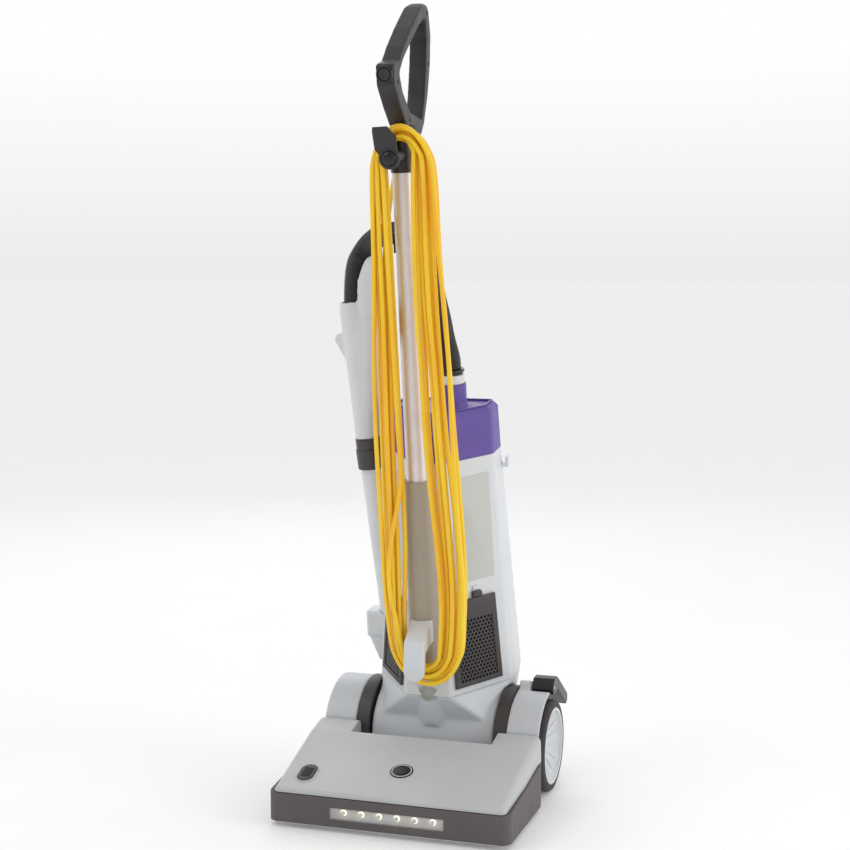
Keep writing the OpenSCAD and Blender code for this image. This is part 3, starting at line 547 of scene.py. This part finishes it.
def fold(w, drop, slots, depths):
    """Half an ellipse between the two runs.

    drop is its height for the inner and the outer turn, and is negative below the lower hook."""
    points = []
    over = drop[1] > 0
    for k in range(1, FOLD_STEPS):
        t = k / FOLD_STEPS
        blend = smoothstep(t)
        slot = slots[0] + (slots[1] - slots[0]) * blend
        early = slot * (TOP_EARLY if over else LOW_EARLY)
        left, right = run_at(-1, w + early, slot), run_at(1, w + early, slot)
        round_by = math.pi * (t if over else 1 + t)
        high = drop[0] + (drop[1] - drop[0]) * slot - early
        points.append((
            (left + right) / 2 + (right - left) / 2 * math.cos(round_by),
            depths[0] + (depths[1] - depths[0]) * blend,
            w + early + abs(high) * math.sin(round_by),
        ))
    return points


def hank_points():
    """The wound cord: down on the left, round the lower hook, up on the right and over the upper hub."""
    points = []
    for turn in range(TURNS):
        slot, depth = TURN_SLOTS[turn]
        next_slot, next_depth = TURN_SLOTS[turn + 1]
        sway, lag = 1.6 + 1.0 * math.sin(5.1 * turn), GOLDEN_ANGLE * turn
        for side in (-1, 1):
            heights = STRAIGHT_AT if side < 0 else list(reversed(STRAIGHT_AT))
            for w in heights:
                if side < 0 and turn == 0 and w > START_W:
                    continue
                calm = max(0.0, min(1.0, (w - 240) / 120, (910 - w) / 120))
                x = run_at(side, w, slot) + calm * sway * math.sin(w / 95 + lag + side)
                v = depth + calm * 1.3 * math.sin(w / 120 + 1.7 * lag)
                if side < 0 and turn == TURNS - 1 and SAG_LOW < w < SAG_HIGH:
                    sag = math.sin(math.pi * (SAG_HIGH - w) / (SAG_HIGH - SAG_LOW))
                    x -= SAG_OUT * sag ** 2
                    v -= SAG_FORWARD * sag
                points.append((x, v, w))
            if side < 0:
                points += fold(LOW_W, (-LOW_INNER, -LOW_OUTER), (slot, slot), (depth, depth))
            else:
                points += fold(TOP_W, (TOP_INNER, TOP_OUTER), (slot, next_slot), (depth, next_depth))
    return points + TAIL_ROUTE


def make_mains_cord():
    """The whole cord as one round line, with its length."""
    route = [Vector(p) for p in LEAD_ROUTE] + [Vector(p) for p in hank_points()]
    line = [up(*p) for p in smooth_route(route, 4)]
    curve = bpy.data.curves.new("mains_cord", "CURVE")
    curve.dimensions = "3D"
    curve.bevel_depth = CORD_D / 2 * MM
    curve.bevel_resolution = 3
    spline = curve.splines.new("POLY")
    spline.points.add(len(line) - 1)
    for point, at in zip(spline.points, line):
        point.co = (*at, 1)
    cord = bpy.data.objects.new("mains_cord", curve)
    scene.collection.objects.link(cord)
    curve.materials.append(CORD)
    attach(cord, "upright")
    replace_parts(cord, "cord_lead", "cord_hank")
    return cord, length_of(line)


def make_strain_relief():
    """Ribbed boot behind the collar, where the lead comes out."""
    profile = [(4, -4.5), (4, 0), (8, 0), (8.2, 0.8), (8.2, 2.4)]
    for k in range(5):
        low, r = 2.8 + 3 * k, 7.6 - 0.52 * k
        profile += [(r - 1.1, low + 0.3), (r - 1.1, low + 1.1), (r, low + 1.4), (r - 0.1, low + 2.8)]
    profile += [(4.9, 18), (3.7, 18)]
    place = UPRIGHT @ shift(0, -64, LEAD_W) @ Matrix.Rotation(-math.pi / 2, 4, "X")
    boot = turned("cord_boot", profile, place, 40, "upright", BLACK)
    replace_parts(boot, "strain_relief")
    return boot


def make_plug():
    """Moulded three-pin plug with a ribbed neck, which hangs behind the left-hand run of the cord."""
    place = UPRIGHT @ shift(*PLUG_AT)
    profile = [
        (11.5, 0), (12.6, 0.6), (13, 1.8), (13, 4), (11.6, 6), (11.2, 10), (11.4, 22), (12, 30), (11.2, 33),
    ]
    for k in range(5):
        low, r = 33.5 + 4 * k, 10.4 - 1.1 * k
        profile += [(r - 1.3, low + 0.4), (r - 1.3, low + 1.4), (r, low + 2.0), (r - 0.3, low + 3.6)]
    profile += [(5.2, 55.5), (3.9, 56)]
    body = turned("plug_body", profile, place, 48, "upright", CORD)
    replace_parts(body, "mains_plug")
    pins = bmesh.new()
    for side in (-1, 1):
        outline = rounded_outline([(-3, -16), (3, -16), (3, 0.5), (-3, 0.5)], 1.6, 4)
        hole = [(0.9 * math.cos(t), -12 + 0.9 * math.sin(t)) for t in (k * math.pi / 6 for k in range(12))]
        blade = prism(outline, -0.8, 0.8, 0.25, (hole,), 1)
        turn = shift(side * 6, 0, 0) @ Matrix.Rotation(math.pi / 2, 4, "Z")
        bmesh.ops.transform(blade, matrix=turn, verts=blade.verts)
        part = bpy.data.meshes.new("blade")
        blade.to_mesh(part)
        pins.from_mesh(part)
        blade.free()
        bpy.data.meshes.remove(part)
    add_turned(pins, [(1.2, -18), (2.1, -17), (2.4, -15), (2.4, 0.5)], shift(0, 6, 0), 20)
    blades = piece_from("plug_pins", bmesh_to("plug_pins", pins, place), "upright", BRASS)
    return body, blades


cord_piece, cord_length = make_mains_cord()
boot_piece = make_strain_relief()
plug_body, plug_pins = make_plug()
print("cord length", round(cord_length, 3))

# ---------------------------------------------------------------- suction hose
HOSE_R = 17.5
HOSE_ROUTE = [
    (*PORT, 608.2), (20.4, 44.4, 625), (15.5, 36, 658), (16, 18, 692), (17, -4, 724), (18, -22, 754),
    (17, -35, 784), (9, -42, 812), (-6, -42, 829), (-28, -31, 835), (-52, -9, 832), (-76, 17, 826),
    (-96, 40, 816), (-111, 54, 806), (-123, 60, 794), (-132.5, 60, 780), (-138, 60, 763), (-141.5, 60, 738),
    (-143.5, 60, 708), (-142.4, 60, 676),
]
# The route's point in the clip, where the two pieces meet
HOSE_JOIN = 8
HOSE_STEPS = 24
RIB_PITCH = 3.6 * MM
RIB_DEPTH = 1.7 * MM


def rib_radius(along):
    """Radius of the corrugated hose: rounded crests with narrow grooves between them."""
    wave = 0.5 + 0.5 * math.cos(2 * math.pi * along / RIB_PITCH)
    return HOSE_R * MM - RIB_DEPTH * (1 - wave ** 0.6)


def make_hose(name, first, last, node):
    """A corrugated piece of the hose, along its route between the upright and another body."""
    fine = smooth_route([up(*p) for p in HOSE_ROUTE], HOSE_STEPS)
    line = evenly(fine[first * HOSE_STEPS:last * HOSE_STEPS + 1], RIB_PITCH / 6)
    mesh = swept(name, line, rib_radius, 36)
    mesh.materials.append(HOSE_BLACK)
    mesh.shade_smooth()
    piece = bpy.data.objects.new(name, mesh)
    scene.collection.objects.link(piece)
    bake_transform(piece)
    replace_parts(piece, node)
    print(name, round(length_of(line), 4))
    return piece


make_hose("hose_to_lid", 0, HOSE_JOIN, "hose_lid_side")
make_hose("hose_to_wand", HOSE_JOIN, len(HOSE_ROUTE) - 1, "hose_wand_side")


# ---------------------------------------------------------------- moulded body parts
HEAD_FRONT = -200
# The top of the floor head's cover rises from its front edge to its back one
COVER_FRONT_Y, COVER_FRONT_Z = HEAD_FRONT + 14, 62
COVER_BACK_Y, COVER_RISE = -32, 46
COVER_PITCH = math.atan2(COVER_RISE, COVER_BACK_Y - COVER_FRONT_Y)
# How far forward the upper hook's hub and the power button stand, and the button's height
HOOK_V = -141.5
BUTTON_V = -148.6
BUTTON_W = 1078

softened("housing_form", ("motor_housing",), "upright", FENDER_GREY, 2.5, 12, 0.3)
softened("fender_left_form", ("left_fender",), "floor_head", FENDER_GREY, 2.0, 10, 0.3)
softened("fender_right_form", ("right_fender",), "floor_head", FENDER_GREY, 2.0, 10, 0.3)
softened("wand_grip_form", ("wand_handle",), "wand", BODY_GREY, 2.0, 12, 0.3)
softened("lower_hook_form", ("lower_cord_hook",), "upright", BODY_GREY, 1.2, 14, 0.35)
softened("handle_form", ("handle_left_shell", "handle_right_shell"), "upright", HANDLE_DARK, 1.5, 10, 0.35)
softened("pedal_form", ("release_pedal",), "pedal", BLACK, 1.3, 6, 0.35)
softened("socket_form", ("wand_socket",), "upright", BODY_GREY, 1.6, 8, 0.35)


def bent_tongue(bend_from=12, slope=0.26, easing=6):
    """Plate of the upper cord hook, bent forward above its hub."""
    outline = [(-16, -3), (-17.5, 14), (-26, 38), (-24, 50), (4, 51), (9, 32), (15.5, 10), (16, -3)]
    plate = prism(rounded_outline(outline, 5, 5), -4.5, 1, 1.3, (), 3)
    for z in (bend_from, 15, 18, 30, 42):
        everything = [*plate.verts, *plate.edges, *plate.faces]
        bmesh.ops.bisect_plane(plate, geom=everything, plane_co=(0, 0, z * MM), plane_no=(0, 0, 1))
    for v in plate.verts:
        high = max(v.co.z / MM - bend_from, 0)
        v.co.y -= slope * high * min(high / easing, 1) * MM
    return bmesh_to("tongue", plate, UPRIGHT @ shift(0, HOOK_V, HUB_W))


def make_upper_hook():
    """Tongue, hub and cap of the hook that swivels in front of the handle."""
    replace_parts(piece_from("upper_hook_tongue", bent_tongue(), "hook", HANDLE_DARK), "cord_hook")
    front = along_v(0, HOOK_V, HUB_W)
    hub = [
        (5, -24), (5, -2), (14.5, -2), (16.2, -0.6), (16.2, 3.4), (15, 4.9), (12.4, 5.4), (11.4, 4.6),
        (0.8, 4.4),
    ]
    turned("upper_hook_hub", hub, front, 48, "hook", HANDLE_DARK)
    cap = [(10.8, 3), (10.8, 4.8), (10.2, 6.4), (8.4, 7.9), (5.4, 8.9), (2, 9.3), (0.4, 9.35)]
    turned("upper_hook_cap", cap, front, 44, "hook", BADGE_BLACK)


def make_power_button():
    """Block with a round well in the handle, a bezel and the button's cap."""
    well = [(9.4 * math.cos(math.pi * k / 16), 9.4 * math.sin(math.pi * k / 16)) for k in range(32)]
    block = rounded_outline([(-14.5, -15), (14.5, -15), (14.5, 15), (-14.5, 15)], 3, 4)
    slab("button_block", block, (-3, 1.5), 1.2, UPRIGHT @ shift(0, BUTTON_V + 3, BUTTON_W), "upright",
         BADGE_BLACK, well, 3)
    bezel = [(9.5, -2), (12.6, -2), (12.6, 1.2), (11.8, 2.2), (10.4, 2.2), (9.5, 1.2), (9.5, -2)]
    turned("button_bezel", bezel, along_v(0, BUTTON_V + 0.2, BUTTON_W), 40, "upright", HANDLE_DARK)
    button = [(8.9, -1.6), (8.9, 1.6), (8.2, 2.4), (5, 1.6), (0.8, 1.3)]
    cap = turned("power_button_cap", button, along_v(0, BUTTON_V, BUTTON_W), 36, "switch", HANDLE_DARK)
    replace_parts(cap, "power_button")


make_upper_hook()
make_power_button()
# Bowl lining the round recess in the nose, in the slightly darker painted-shade grey, which stands for shade
# in the hollow
recess = [(14.2, 0), (14.2, 13), (13.2, 13), (12.6, 8), (11, 4), (8, 1.8), (4, 0.9), (0.8, 0.7)]
turned("nose_cup", recess, along_v(0, -68.5, 98), 40, "upright", PAINTED_SHADE_GREY)


# ---------------------------------------------------------------- grilles and slanted panels
def mesh_sheet(cells, pitch, hole, low, high):
    """Sheet with a staggered field of six-sided holes around the given cell centres (x, z)."""
    shape = bmesh.new()
    reach = pitch / math.sqrt(3)
    for cx, cz in cells:
        rings = []
        for radius in (reach, hole):
            rings.append([
                shape.verts.new(((cx + radius * math.sin(k * math.pi / 3)) * MM, low * MM,
                                 (cz + radius * math.cos(k * math.pi / 3)) * MM)) for k in range(6)
            ])
        for k in range(6):
            n = (k + 1) % 6
            shape.faces.new((rings[0][k], rings[0][n], rings[1][n], rings[1][k]))
    bmesh.ops.remove_doubles(shape, verts=shape.verts, dist=2e-5)
    thicken(shape, high - low)
    return shape


GRILLE_PITCH = 6.9
GRILLE_ROW = 5.976


def make_grille(side, word):
    """Grille with its mesh, foam, tab and lip on one slanted panel, and above it a plain raised inset whose
    darker grey is painted shade on that face.
    """
    place = panel(side)
    window = rounded_outline([(-23, 15), (57, 15), (56, 121), (-19, 121)], 4, 5)
    plate = slab(f"grille_{word}_plate", rounded_outline([(-37, 3), (70, 3), (71, 158), (-31, 158)], 8, 6),
                 (-5, -0.2), 1.1, place, "upright", DARK, window)
    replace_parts(plate, f"{word}_grille_cover")
    cells = []
    for row in range(18):
        for column in range(13):
            cells.append((-26 + GRILLE_PITCH * (column + row % 2 / 2), 14 + GRILLE_ROW * row))
    sheet = mesh_sheet(cells, GRILLE_PITCH, 2.55, -3.4, -2.2)
    piece_from(f"grille_{word}_mesh", bmesh_to("sheet", sheet, place), "upright", DARK)
    foam = rounded_outline([(-27, 11), (61, 11), (60, 125), (-23, 125)], 3, 3)
    slab(f"grille_{word}_foam", foam, (-1.6, -0.4), 0.3, place, "upright", FOAM, segments=1)
    tab = rounded_outline([(17, 151), (40, 151), (38, 163), (19, 163)], 2.5, 4)
    slab(f"grille_{word}_tab", tab, (-6.6, -0.3), 1.0, place, "upright", DARK)
    lip = rounded_outline([(19, 161.5), (38, 161.5), (35.5, 171), (21.5, 171)], 3, 4)
    slab(f"grille_{word}_lip", lip, (-3.2, -0.1), 0.9, place, "upright", BODY_GREY)
    # The inset's outline is the real label panel; its darker grey is painted shade for a face turned away
    # from the light
    inset = rounded_outline([(-14, 176), (71, 176), (80, 350), (5, 350)], 3, 4)
    slab(f"side_inset_{word}", inset, (-0.8, 0.4), 0.5, place, "upright", PAINTED_SHADE_GREY)


make_grille(1, "right")
make_grille(-1, "left")


# Raised frame and screws on the plain back wall
BACK_WALL = UPRIGHT @ shift(0, BACK_V, 0) @ Matrix.Rotation(math.pi, 4, "Z")
frame_out = rounded_outline([(-74, 128), (74, 128), (62, 420), (-62, 420)], 12, 6)
frame_in = rounded_outline([(-68, 134), (68, 134), (56.5, 414), (-56.5, 414)], 8, 6)
slab("back_frame", frame_out, (-1.6, 0.3), 0.7, BACK_WALL, "upright", BODY_GREY, frame_in)
screws = bmesh.new()
screw_head = [(4.2, -0.5), (4.2, 0.9), (3.4, 1.9), (1.4, 2.1), (1.4, 1.1), (0.3, 1.1)]
for x, z in ((-80, 120), (80, 120), (-70, 432), (70, 432)):
    add_turned(screws, screw_head, BACK_WALL @ shift(x, 0, z) @ Matrix.Rotation(math.pi / 2, 4, "X"), 24)
piece_from("back_screws", bmesh_to("back_screws", screws), "upright", STEEL)


# ---------------------------------------------------------------- lid and port
ring = [(14.9, 0), (21.4, 0), (22, 0.8), (22, 12.6), (21.2, 14), (20.4, 14.4), (14.9, 14.4), (14.9, 0)]
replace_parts(turned("port_ring", ring, at_port(584.2), 56, "lid", BODY_GREY), "hose_cuff")
collar = [
    (15.2, 0), (19.4, 0), (19.4, 3.6), (21.9, 5.2), (22.1, 7), (21.6, 8.8), (18.4, 9.2), (17.2, 8.8),
    (15.2, 6), (15.2, 0),
]
turned("port_collar", collar, at_port(598.2), 56, "lid", HOSE_BLACK)
skirt = [(23.2, 0), (29, 0), (27.4, 1.6), (25.4, 5), (24.6, 11), (24.4, 12), (23.2, 12), (23.2, 0)]
turned("port_skirt", skirt, at_port(LID_TOP - 1.2), 56, "lid", PURPLE)


def shrunk(points, by):
    """The same outline with every side moved inwards."""
    out = []
    for i, here in enumerate(points):
        before, after = Vector(points[i - 1]), Vector(points[(i + 1) % len(points)])
        here = Vector(here)
        a, b = (here - before).normalized(), (after - here).normalized()
        na, nb = Vector((-a.y, a.x)), Vector((-b.y, b.x))
        share = (na + nb) / (1 + na.dot(nb))
        out.append(tuple(here + share * by))
    return out


TOP_OUTLINE = [
    (-28, -29), (28, -29), (84.7, 44.3), (87, 52), (86, BACK_V), (-86, BACK_V), (-87, 52), (-84.7, 44.3),
]
rim_outside = rounded_outline(shrunk(TOP_OUTLINE, 6.5), 5, 5)
rim_inside = rounded_outline(shrunk(TOP_OUTLINE, 10.5), 4, 5)
on_lid = UPRIGHT @ shift(0, 0, LID_TOP) @ Matrix.Rotation(-math.pi / 2, 4, "X")
slab("lid_rim", rim_outside, (-3.2, 1.5), 1.1, on_lid, "lid", PURPLE, rim_inside, 3)


# ---------------------------------------------------------------- wheels
HUB_PROFILE = [
    (8.05, 141), (16, 141), (16, 163), (54, 171), (56, 170), (58, 145), (63, 145), (63, 186), (61.6, 187.3),
    (59.4, 187.6), (57.4, 186.6), (56.2, 183), (52.5, 179.4), (47, 177.2), (38, 173.6), (26, 170.4),
    (19, 169.6), (15.6, 170.2), (14, 170.6), (8.05, 170.6), (8.05, 141),
]
TYRE_PROFILE = [
    (63, 144), (70, 143.5), (73.6, 145.4), (75, 149), (75, 154), (74, 154.8), (74, 156.4), (75, 157.2),
    (75, 162.4), (74, 163.2), (74, 164.8), (75, 165.6), (75, 170.8), (74, 171.6), (74, 173.2), (75, 174),
    (75, 179.4), (74, 183.2), (71.6, 186), (68, 187.2), (63, 187.2), (63, 144),
]
# Place of the rear wheels' axle, and the brush roll's
WHEEL_Y, WHEEL_Z = 100, 75
BRUSH_Y, BRUSH_Z = -140, 34
SPOKES = 14
# Ribs on the wheel's face: radius, height above the face and half width
SPOKE_ROWS = ((21, 0.1, 1.2), (30, 1.5, 1.0), (42, 1.8, 0.9), (53, 0.6, 0.8))


def dish(radius):
    """How far out the wheel's face is at a radius."""
    points = sorted(HUB_PROFILE[12:18])
    for (r0, x0), (r1, x1) in zip(points, points[1:]):
        if r0 <= radius <= r1:
            return x0 + (x1 - x0) * (radius - r0) / (r1 - r0)
    return points[-1][1] if radius > points[-1][0] else points[0][1]


def skin(shape, rings, capped=True):
    """Faces between rings of a bmesh's vertices, with a cap on both ends."""
    for a, b in zip(rings, rings[1:]):
        for i in range(len(a)):
            n = (i + 1) % len(a)
            shape.faces.new((a[i], a[n], b[n], b[i]))
    if capped:
        shape.faces.new(rings[0])
        shape.faces.new(list(reversed(rings[-1])))


def make_wheel(side, word):
    """Rim, tyre, ribs and cap of a rear wheel, whose z axis looks outwards."""
    mirror = Matrix.Diagonal((side, 1, 1, 1))
    place = mirror @ shift(0, WHEEL_Y, WHEEL_Z) @ Matrix.Rotation(math.pi / 2, 4, "Y")
    body = f"{word}_wheel"
    rim = turned(f"wheel_{word}_rim", HUB_PROFILE, place, 72, body, RIM_SILVER, 30)
    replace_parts(rim, f"{word}_wheel_hub")
    tyre = turned(f"wheel_{word}_tyre", TYRE_PROFILE, place, 72, body, TYRE, 40)
    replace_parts(tyre, f"{word}_wheel_tyre")
    ribs = bmesh.new()
    for k in range(SPOKES):
        turn = 2 * math.pi * k / SPOKES
        out = Vector((math.cos(turn), math.sin(turn), 0))
        across = Vector((-out.y, out.x, 0))
        rows = []
        for radius, rise, half in SPOKE_ROWS:
            low, high = dish(radius) - 1, dish(radius) + rise
            corners = ((-half - 0.6, low), (-half, high), (half, high), (half + 0.6, low))
            rows.append([
                ribs.verts.new((out * radius + across * s + Vector((0, 0, z))) * MM) for s, z in corners
            ])
        skin(ribs, rows)
    piece_from(f"wheel_{word}_ribs", bmesh_to("ribs", ribs, place), body, RIM_SILVER)
    middle = [(15.4, 169), (15.4, 171.4), (14, 173), (10, 174.6), (5, 175.4), (0.8, 175.6)]
    turned(f"wheel_{word}_cap", middle, place, 48, body, FENDER_GREY)


make_wheel(1, "right")
make_wheel(-1, "left")

# ---------------------------------------------------------------- brush roll
TUFT_ROWS, TUFTS = 4, 40
BRISTLES_FROM, BRISTLES_LONG = -162, 308
tufts = bmesh.new()
for row in range(TUFT_ROWS):
    for k in range(TUFTS):
        turn = math.pi / 4 + row * 2 * math.pi / TUFT_ROWS + 0.16 * math.sin(k * 0.9)
        out = Vector((0, math.cos(turn), math.sin(turn)))
        across = Vector((0, -out.z, out.y))
        foot = Vector((BRISTLES_FROM + BRISTLES_LONG * k / (TUFTS - 1), BRUSH_Y, BRUSH_Z))
        rings = []
        for reach, half in ((15, 1.6), (24, 2.3), (30.6, 3.0)):
            rings.append([tufts.verts.new((foot + out * reach + Vector((half * math.cos(t), 0, 0))
                                           + across * half * math.sin(t)) * MM)
                          for t in (math.pi * i / 3 for i in range(6))])
        skin(tufts, rings)
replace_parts(piece_from("bristle_tufts", bmesh_to("tufts", tufts), "brush_roll", BRISTLE), "brush_bristles")


# ---------------------------------------------------------------- floor head details
LEDS, LED_PITCH, LED_Z = 6, 28.5, 29
domes = bmesh.new()
dome_profile = [(4.6, -1), (4.6, 0.6), (4.1, 2.4), (3.0, 3.9), (1.5, 4.8), (0.4, 5)]
for k in range(LEDS):
    at = shift((k - (LEDS - 1) / 2) * LED_PITCH, HEAD_FRONT + 11, LED_Z)
    add_turned(domes, dome_profile, at @ Matrix.Rotation(math.pi / 2, 4, "X"), 24)
piece_from("headlight_leds", bmesh_to("leds", domes), "floor_head", LED)


def on_cover(x, y):
    """Frame on the sloping top of the floor head's cover, z outwards."""
    place = shift(x, y, COVER_FRONT_Z + (y - COVER_FRONT_Y) * math.tan(COVER_PITCH))
    return place @ Matrix.Rotation(COVER_PITCH, 4, "X")


ring = [(14.2, 0.8), (14.6, 1.9), (15.2, 2.2), (15.8, 1.9), (16.2, 0.8), (14.2, 0.8)]
turned("badge_ring", ring, on_cover(0, -124), 56, "floor_head", RIM_SILVER)

OVAL_AT = on_cover(-145, -152)
# The oval button is two half circles of this radius, whose centres lie this far from its middle
OVAL_R, OVAL_HALF = 13, 9
OVAL_RIBS, OVAL_RIB_PITCH = 5, 5


def oval_ring(shape, grow, rise):
    """Vertices around the oval button, further out by grow and at height rise."""
    half = [(math.cos(math.pi * k / 14), math.sin(math.pi * k / 14)) for k in range(15)]
    reach = OVAL_R + grow
    points = [(reach * x, OVAL_HALF + reach * y) for x, y in half]
    points += [(-x, -y) for x, y in points]
    return [shape.verts.new((x * MM, y * MM, rise * MM)) for x, y in points]


oval_rim = bmesh.new()
oval_steps = ((0.2, 0), (0.2, 1.4), (1.0, 2.2), (2.2, 2.2), (3.0, 1.4), (3.4, -0.4))
skin(oval_rim, [oval_ring(oval_rim, *step) for step in oval_steps], capped=False)
bmesh.ops.remove_doubles(oval_rim, verts=oval_rim.verts, dist=1e-6)
piece_from("oval_rim", bmesh_to("oval_rim", oval_rim, OVAL_AT), "floor_head", COVER_GREY)
bar = rounded_outline([(-7, 0), (7, 0), (7, 1.4), (-7, 1.4)], 0.5, 3)
for k in range(OVAL_RIBS):
    place = OVAL_AT @ shift(0, (k - (OVAL_RIBS - 1) / 2) * OVAL_RIB_PITCH, 2.7)
    slab(f"oval_rib_{k}", bar, (-0.8, 0.8), 0.3, place, "head_button", DARK)


# ---------------------------------------------------------------- carried-over CAD nodes
SHARP_ANGLE = math.radians(32)


def edge_smoother():
    """Node group that shades a mesh smooth but for its sharp edges, whatever normals it came with."""
    group = bpy.data.node_groups.new("smooth_by_angle", "GeometryNodeTree")
    group.interface.new_socket("Mesh", in_out="INPUT", socket_type="NodeSocketGeometry")
    group.interface.new_socket("Mesh", in_out="OUTPUT", socket_type="NodeSocketGeometry")
    source, result = group.nodes.new("NodeGroupInput"), group.nodes.new("NodeGroupOutput")
    smooth = group.nodes.new("GeometryNodeSetMeshNormal")
    smooth.mode = "SHARPNESS"
    angle = group.nodes.new("GeometryNodeInputMeshEdgeAngle")
    sharp = group.nodes.new("FunctionNodeCompare")
    sharp.data_type = "FLOAT"
    sharp.operation = "GREATER_THAN"
    sharp.inputs[1].default_value = SHARP_ANGLE
    group.links.new(source.outputs[0], smooth.inputs["Mesh"])
    group.links.new(angle.outputs["Unsigned Angle"], sharp.inputs[0])
    group.links.new(sharp.outputs[0], smooth.inputs["Edge Sharpness"])
    group.links.new(smooth.outputs[0], result.inputs[0])
    return group


SMOOTHER = edge_smoother()

# Nodes with openings in flat faces, whose faces can't be joined into larger ones
PIERCED = {"front_bumper", "base_chassis", "sole_plate", "body_shell", "headlight_lens"}


def dress(node, material, bevel):
    """Gives a CAD node its material, clean shading and softly rounded edges."""
    part = nodes[node]
    if not part.material_slots:
        part.data.materials.append(material)
    for holder in part.material_slots:
        holder.material = material
    weld = part.modifiers.new("weld", "WELD")
    weld.merge_threshold = 1e-5
    if bevel:
        if node not in PIERCED:
            flat = part.modifiers.new("flat", "DECIMATE")
            flat.decimate_type = "DISSOLVE"
            flat.angle_limit = math.radians(0.6)
        edge = part.modifiers.new("edge", "BEVEL")
        edge.width = bevel * MM
        edge.segments = 2
        edge.limit_method = "ANGLE"
        edge.angle_limit = SHARP_ANGLE
    shading = part.modifiers.new("shading", "NODES")
    shading.node_group = SMOOTHER
    weights = part.modifiers.new("weights", "WEIGHTED_NORMAL")
    weights.keep_sharp = True


# The nodes that are still shown, with the width of their rounded edges
DRESSED = [
    (BODY_GREY, 0.8, ["body_shell", "wand_tube"]),
    (COVER_GREY, 0.8, ["base_cover"]),
    (TAUPE, 0.8, ["column_cover"]),
    (BUMPER, 1.2, ["front_bumper"]),
    (DARK, 0.8, ["base_chassis", "left_pivot_bracket", "right_pivot_bracket", "oval_button", "left_roller",
                 "right_roller", "wand_collar", "brush_core"]),
    (BLACK, 0.8, ["handle_collar", "hose_clip", "lid_latch", "suction_duct"]),
    (BADGE_BLACK, 0.3, ["badge"]),
    (PURPLE, 0.8, ["lid"]),
    (TYRE, 0.8, ["drive_belt"]),
    (TUBE, 0.0, ["main_tube"]),
    (STEEL, 0.0, ["sole_plate_screws", "wheel_axles", "lid_hinge_pin", "handle_screws", "motor_pulley"]),
    (STEEL, 0.4, ["sole_plate"]),
    (ALUMINIUM, 0.5, ["suction_motor", "suction_fan", "brush_motor"]),
    (BRASS, 0.0, ["pivot_bushes"]),
    (LENS, 0.3, ["headlight_lens"]),
    (BOARD, 0.0, ["headlight_board"]),
    (FILTER, 1.0, ["filter_bag"]),
]
for material, bevel, names in DRESSED:
    for name in names:
        dress(name, material, bevel)

# ---------------------------------------------------------------- lights and floor
FAR = 60
floor_corners = [(-FAR, -FAR, 0), (FAR, -FAR, 0), (FAR, FAR, 0), (-FAR, FAR, 0)]
floor_mesh = mesh_from("floor", floor_corners, [(0, 1, 2, 3)])
floor = bpy.data.objects.new("floor", floor_mesh)
scene.collection.objects.link(floor)
floor_mesh.materials.append(
    moulded("studio_floor", (0.9, 0.9, 0.9, 1), 0.8, grain=0.02, grain_scale=200, drift=0.01, scuff=0.02,
            Emission_Color=(1, 1, 1, 1), Emission_Strength=0.12)
)

world = bpy.data.worlds.new("studio")
scene.world = world
world.use_nodes = True
sky, sky_links = world.node_tree.nodes, world.node_tree.links
background = sky["Background"]
direction = sky.new("ShaderNodeTexCoord")
axes = sky.new("ShaderNodeSeparateXYZ")
background.inputs["Color"].default_value = (1, 1, 1, 1)
sky_links.new(direction.outputs["Generated"], axes.inputs[0])
# Brighter behind the object than in front of it, and a little darker below the horizon
product = sky.new("ShaderNodeMath")
product.operation = "MULTIPLY"
sky_links.new(spread_of(sky, sky_links, axes.outputs["Y"], 0.50, 0.98, -1.0, 0.7), product.inputs[0])
sky_links.new(spread_of(sky, sky_links, axes.outputs["Z"], 0.86, 1.02, 0.0, 0.12), product.inputs[1])
sky_links.new(product.outputs[0], background.inputs["Strength"])
scene.view_settings.view_transform = "Standard"

# name, place, size, power, aimed at
SOFT_BOXES = [
    ("key", (-1.8, -1.6, 2.8), 1.6, 14, (0, 0, 0.6)),
    ("right", (2.6, -0.2, 1.4), 1.2, 14, (0, 0, 0.6)),
    ("rim", (-1.2, 2.4, 2.0), 1.4, 8, (0, 0, 0.7)),
]
for name, place, size, power, aim in SOFT_BOXES:
    data = bpy.data.lights.new(name, "AREA")
    data.shape = "SQUARE"
    data.size = size
    data.energy = power
    light = bpy.data.objects.new(name, data)
    light.location = place
    light.rotation_euler = (Vector(aim) - Vector(place)).to_track_quat("-Z", "Y").to_euler()
    scene.collection.objects.link(light)

# ---------------------------------------------------------------- end
bpy.context.view_layer.update()
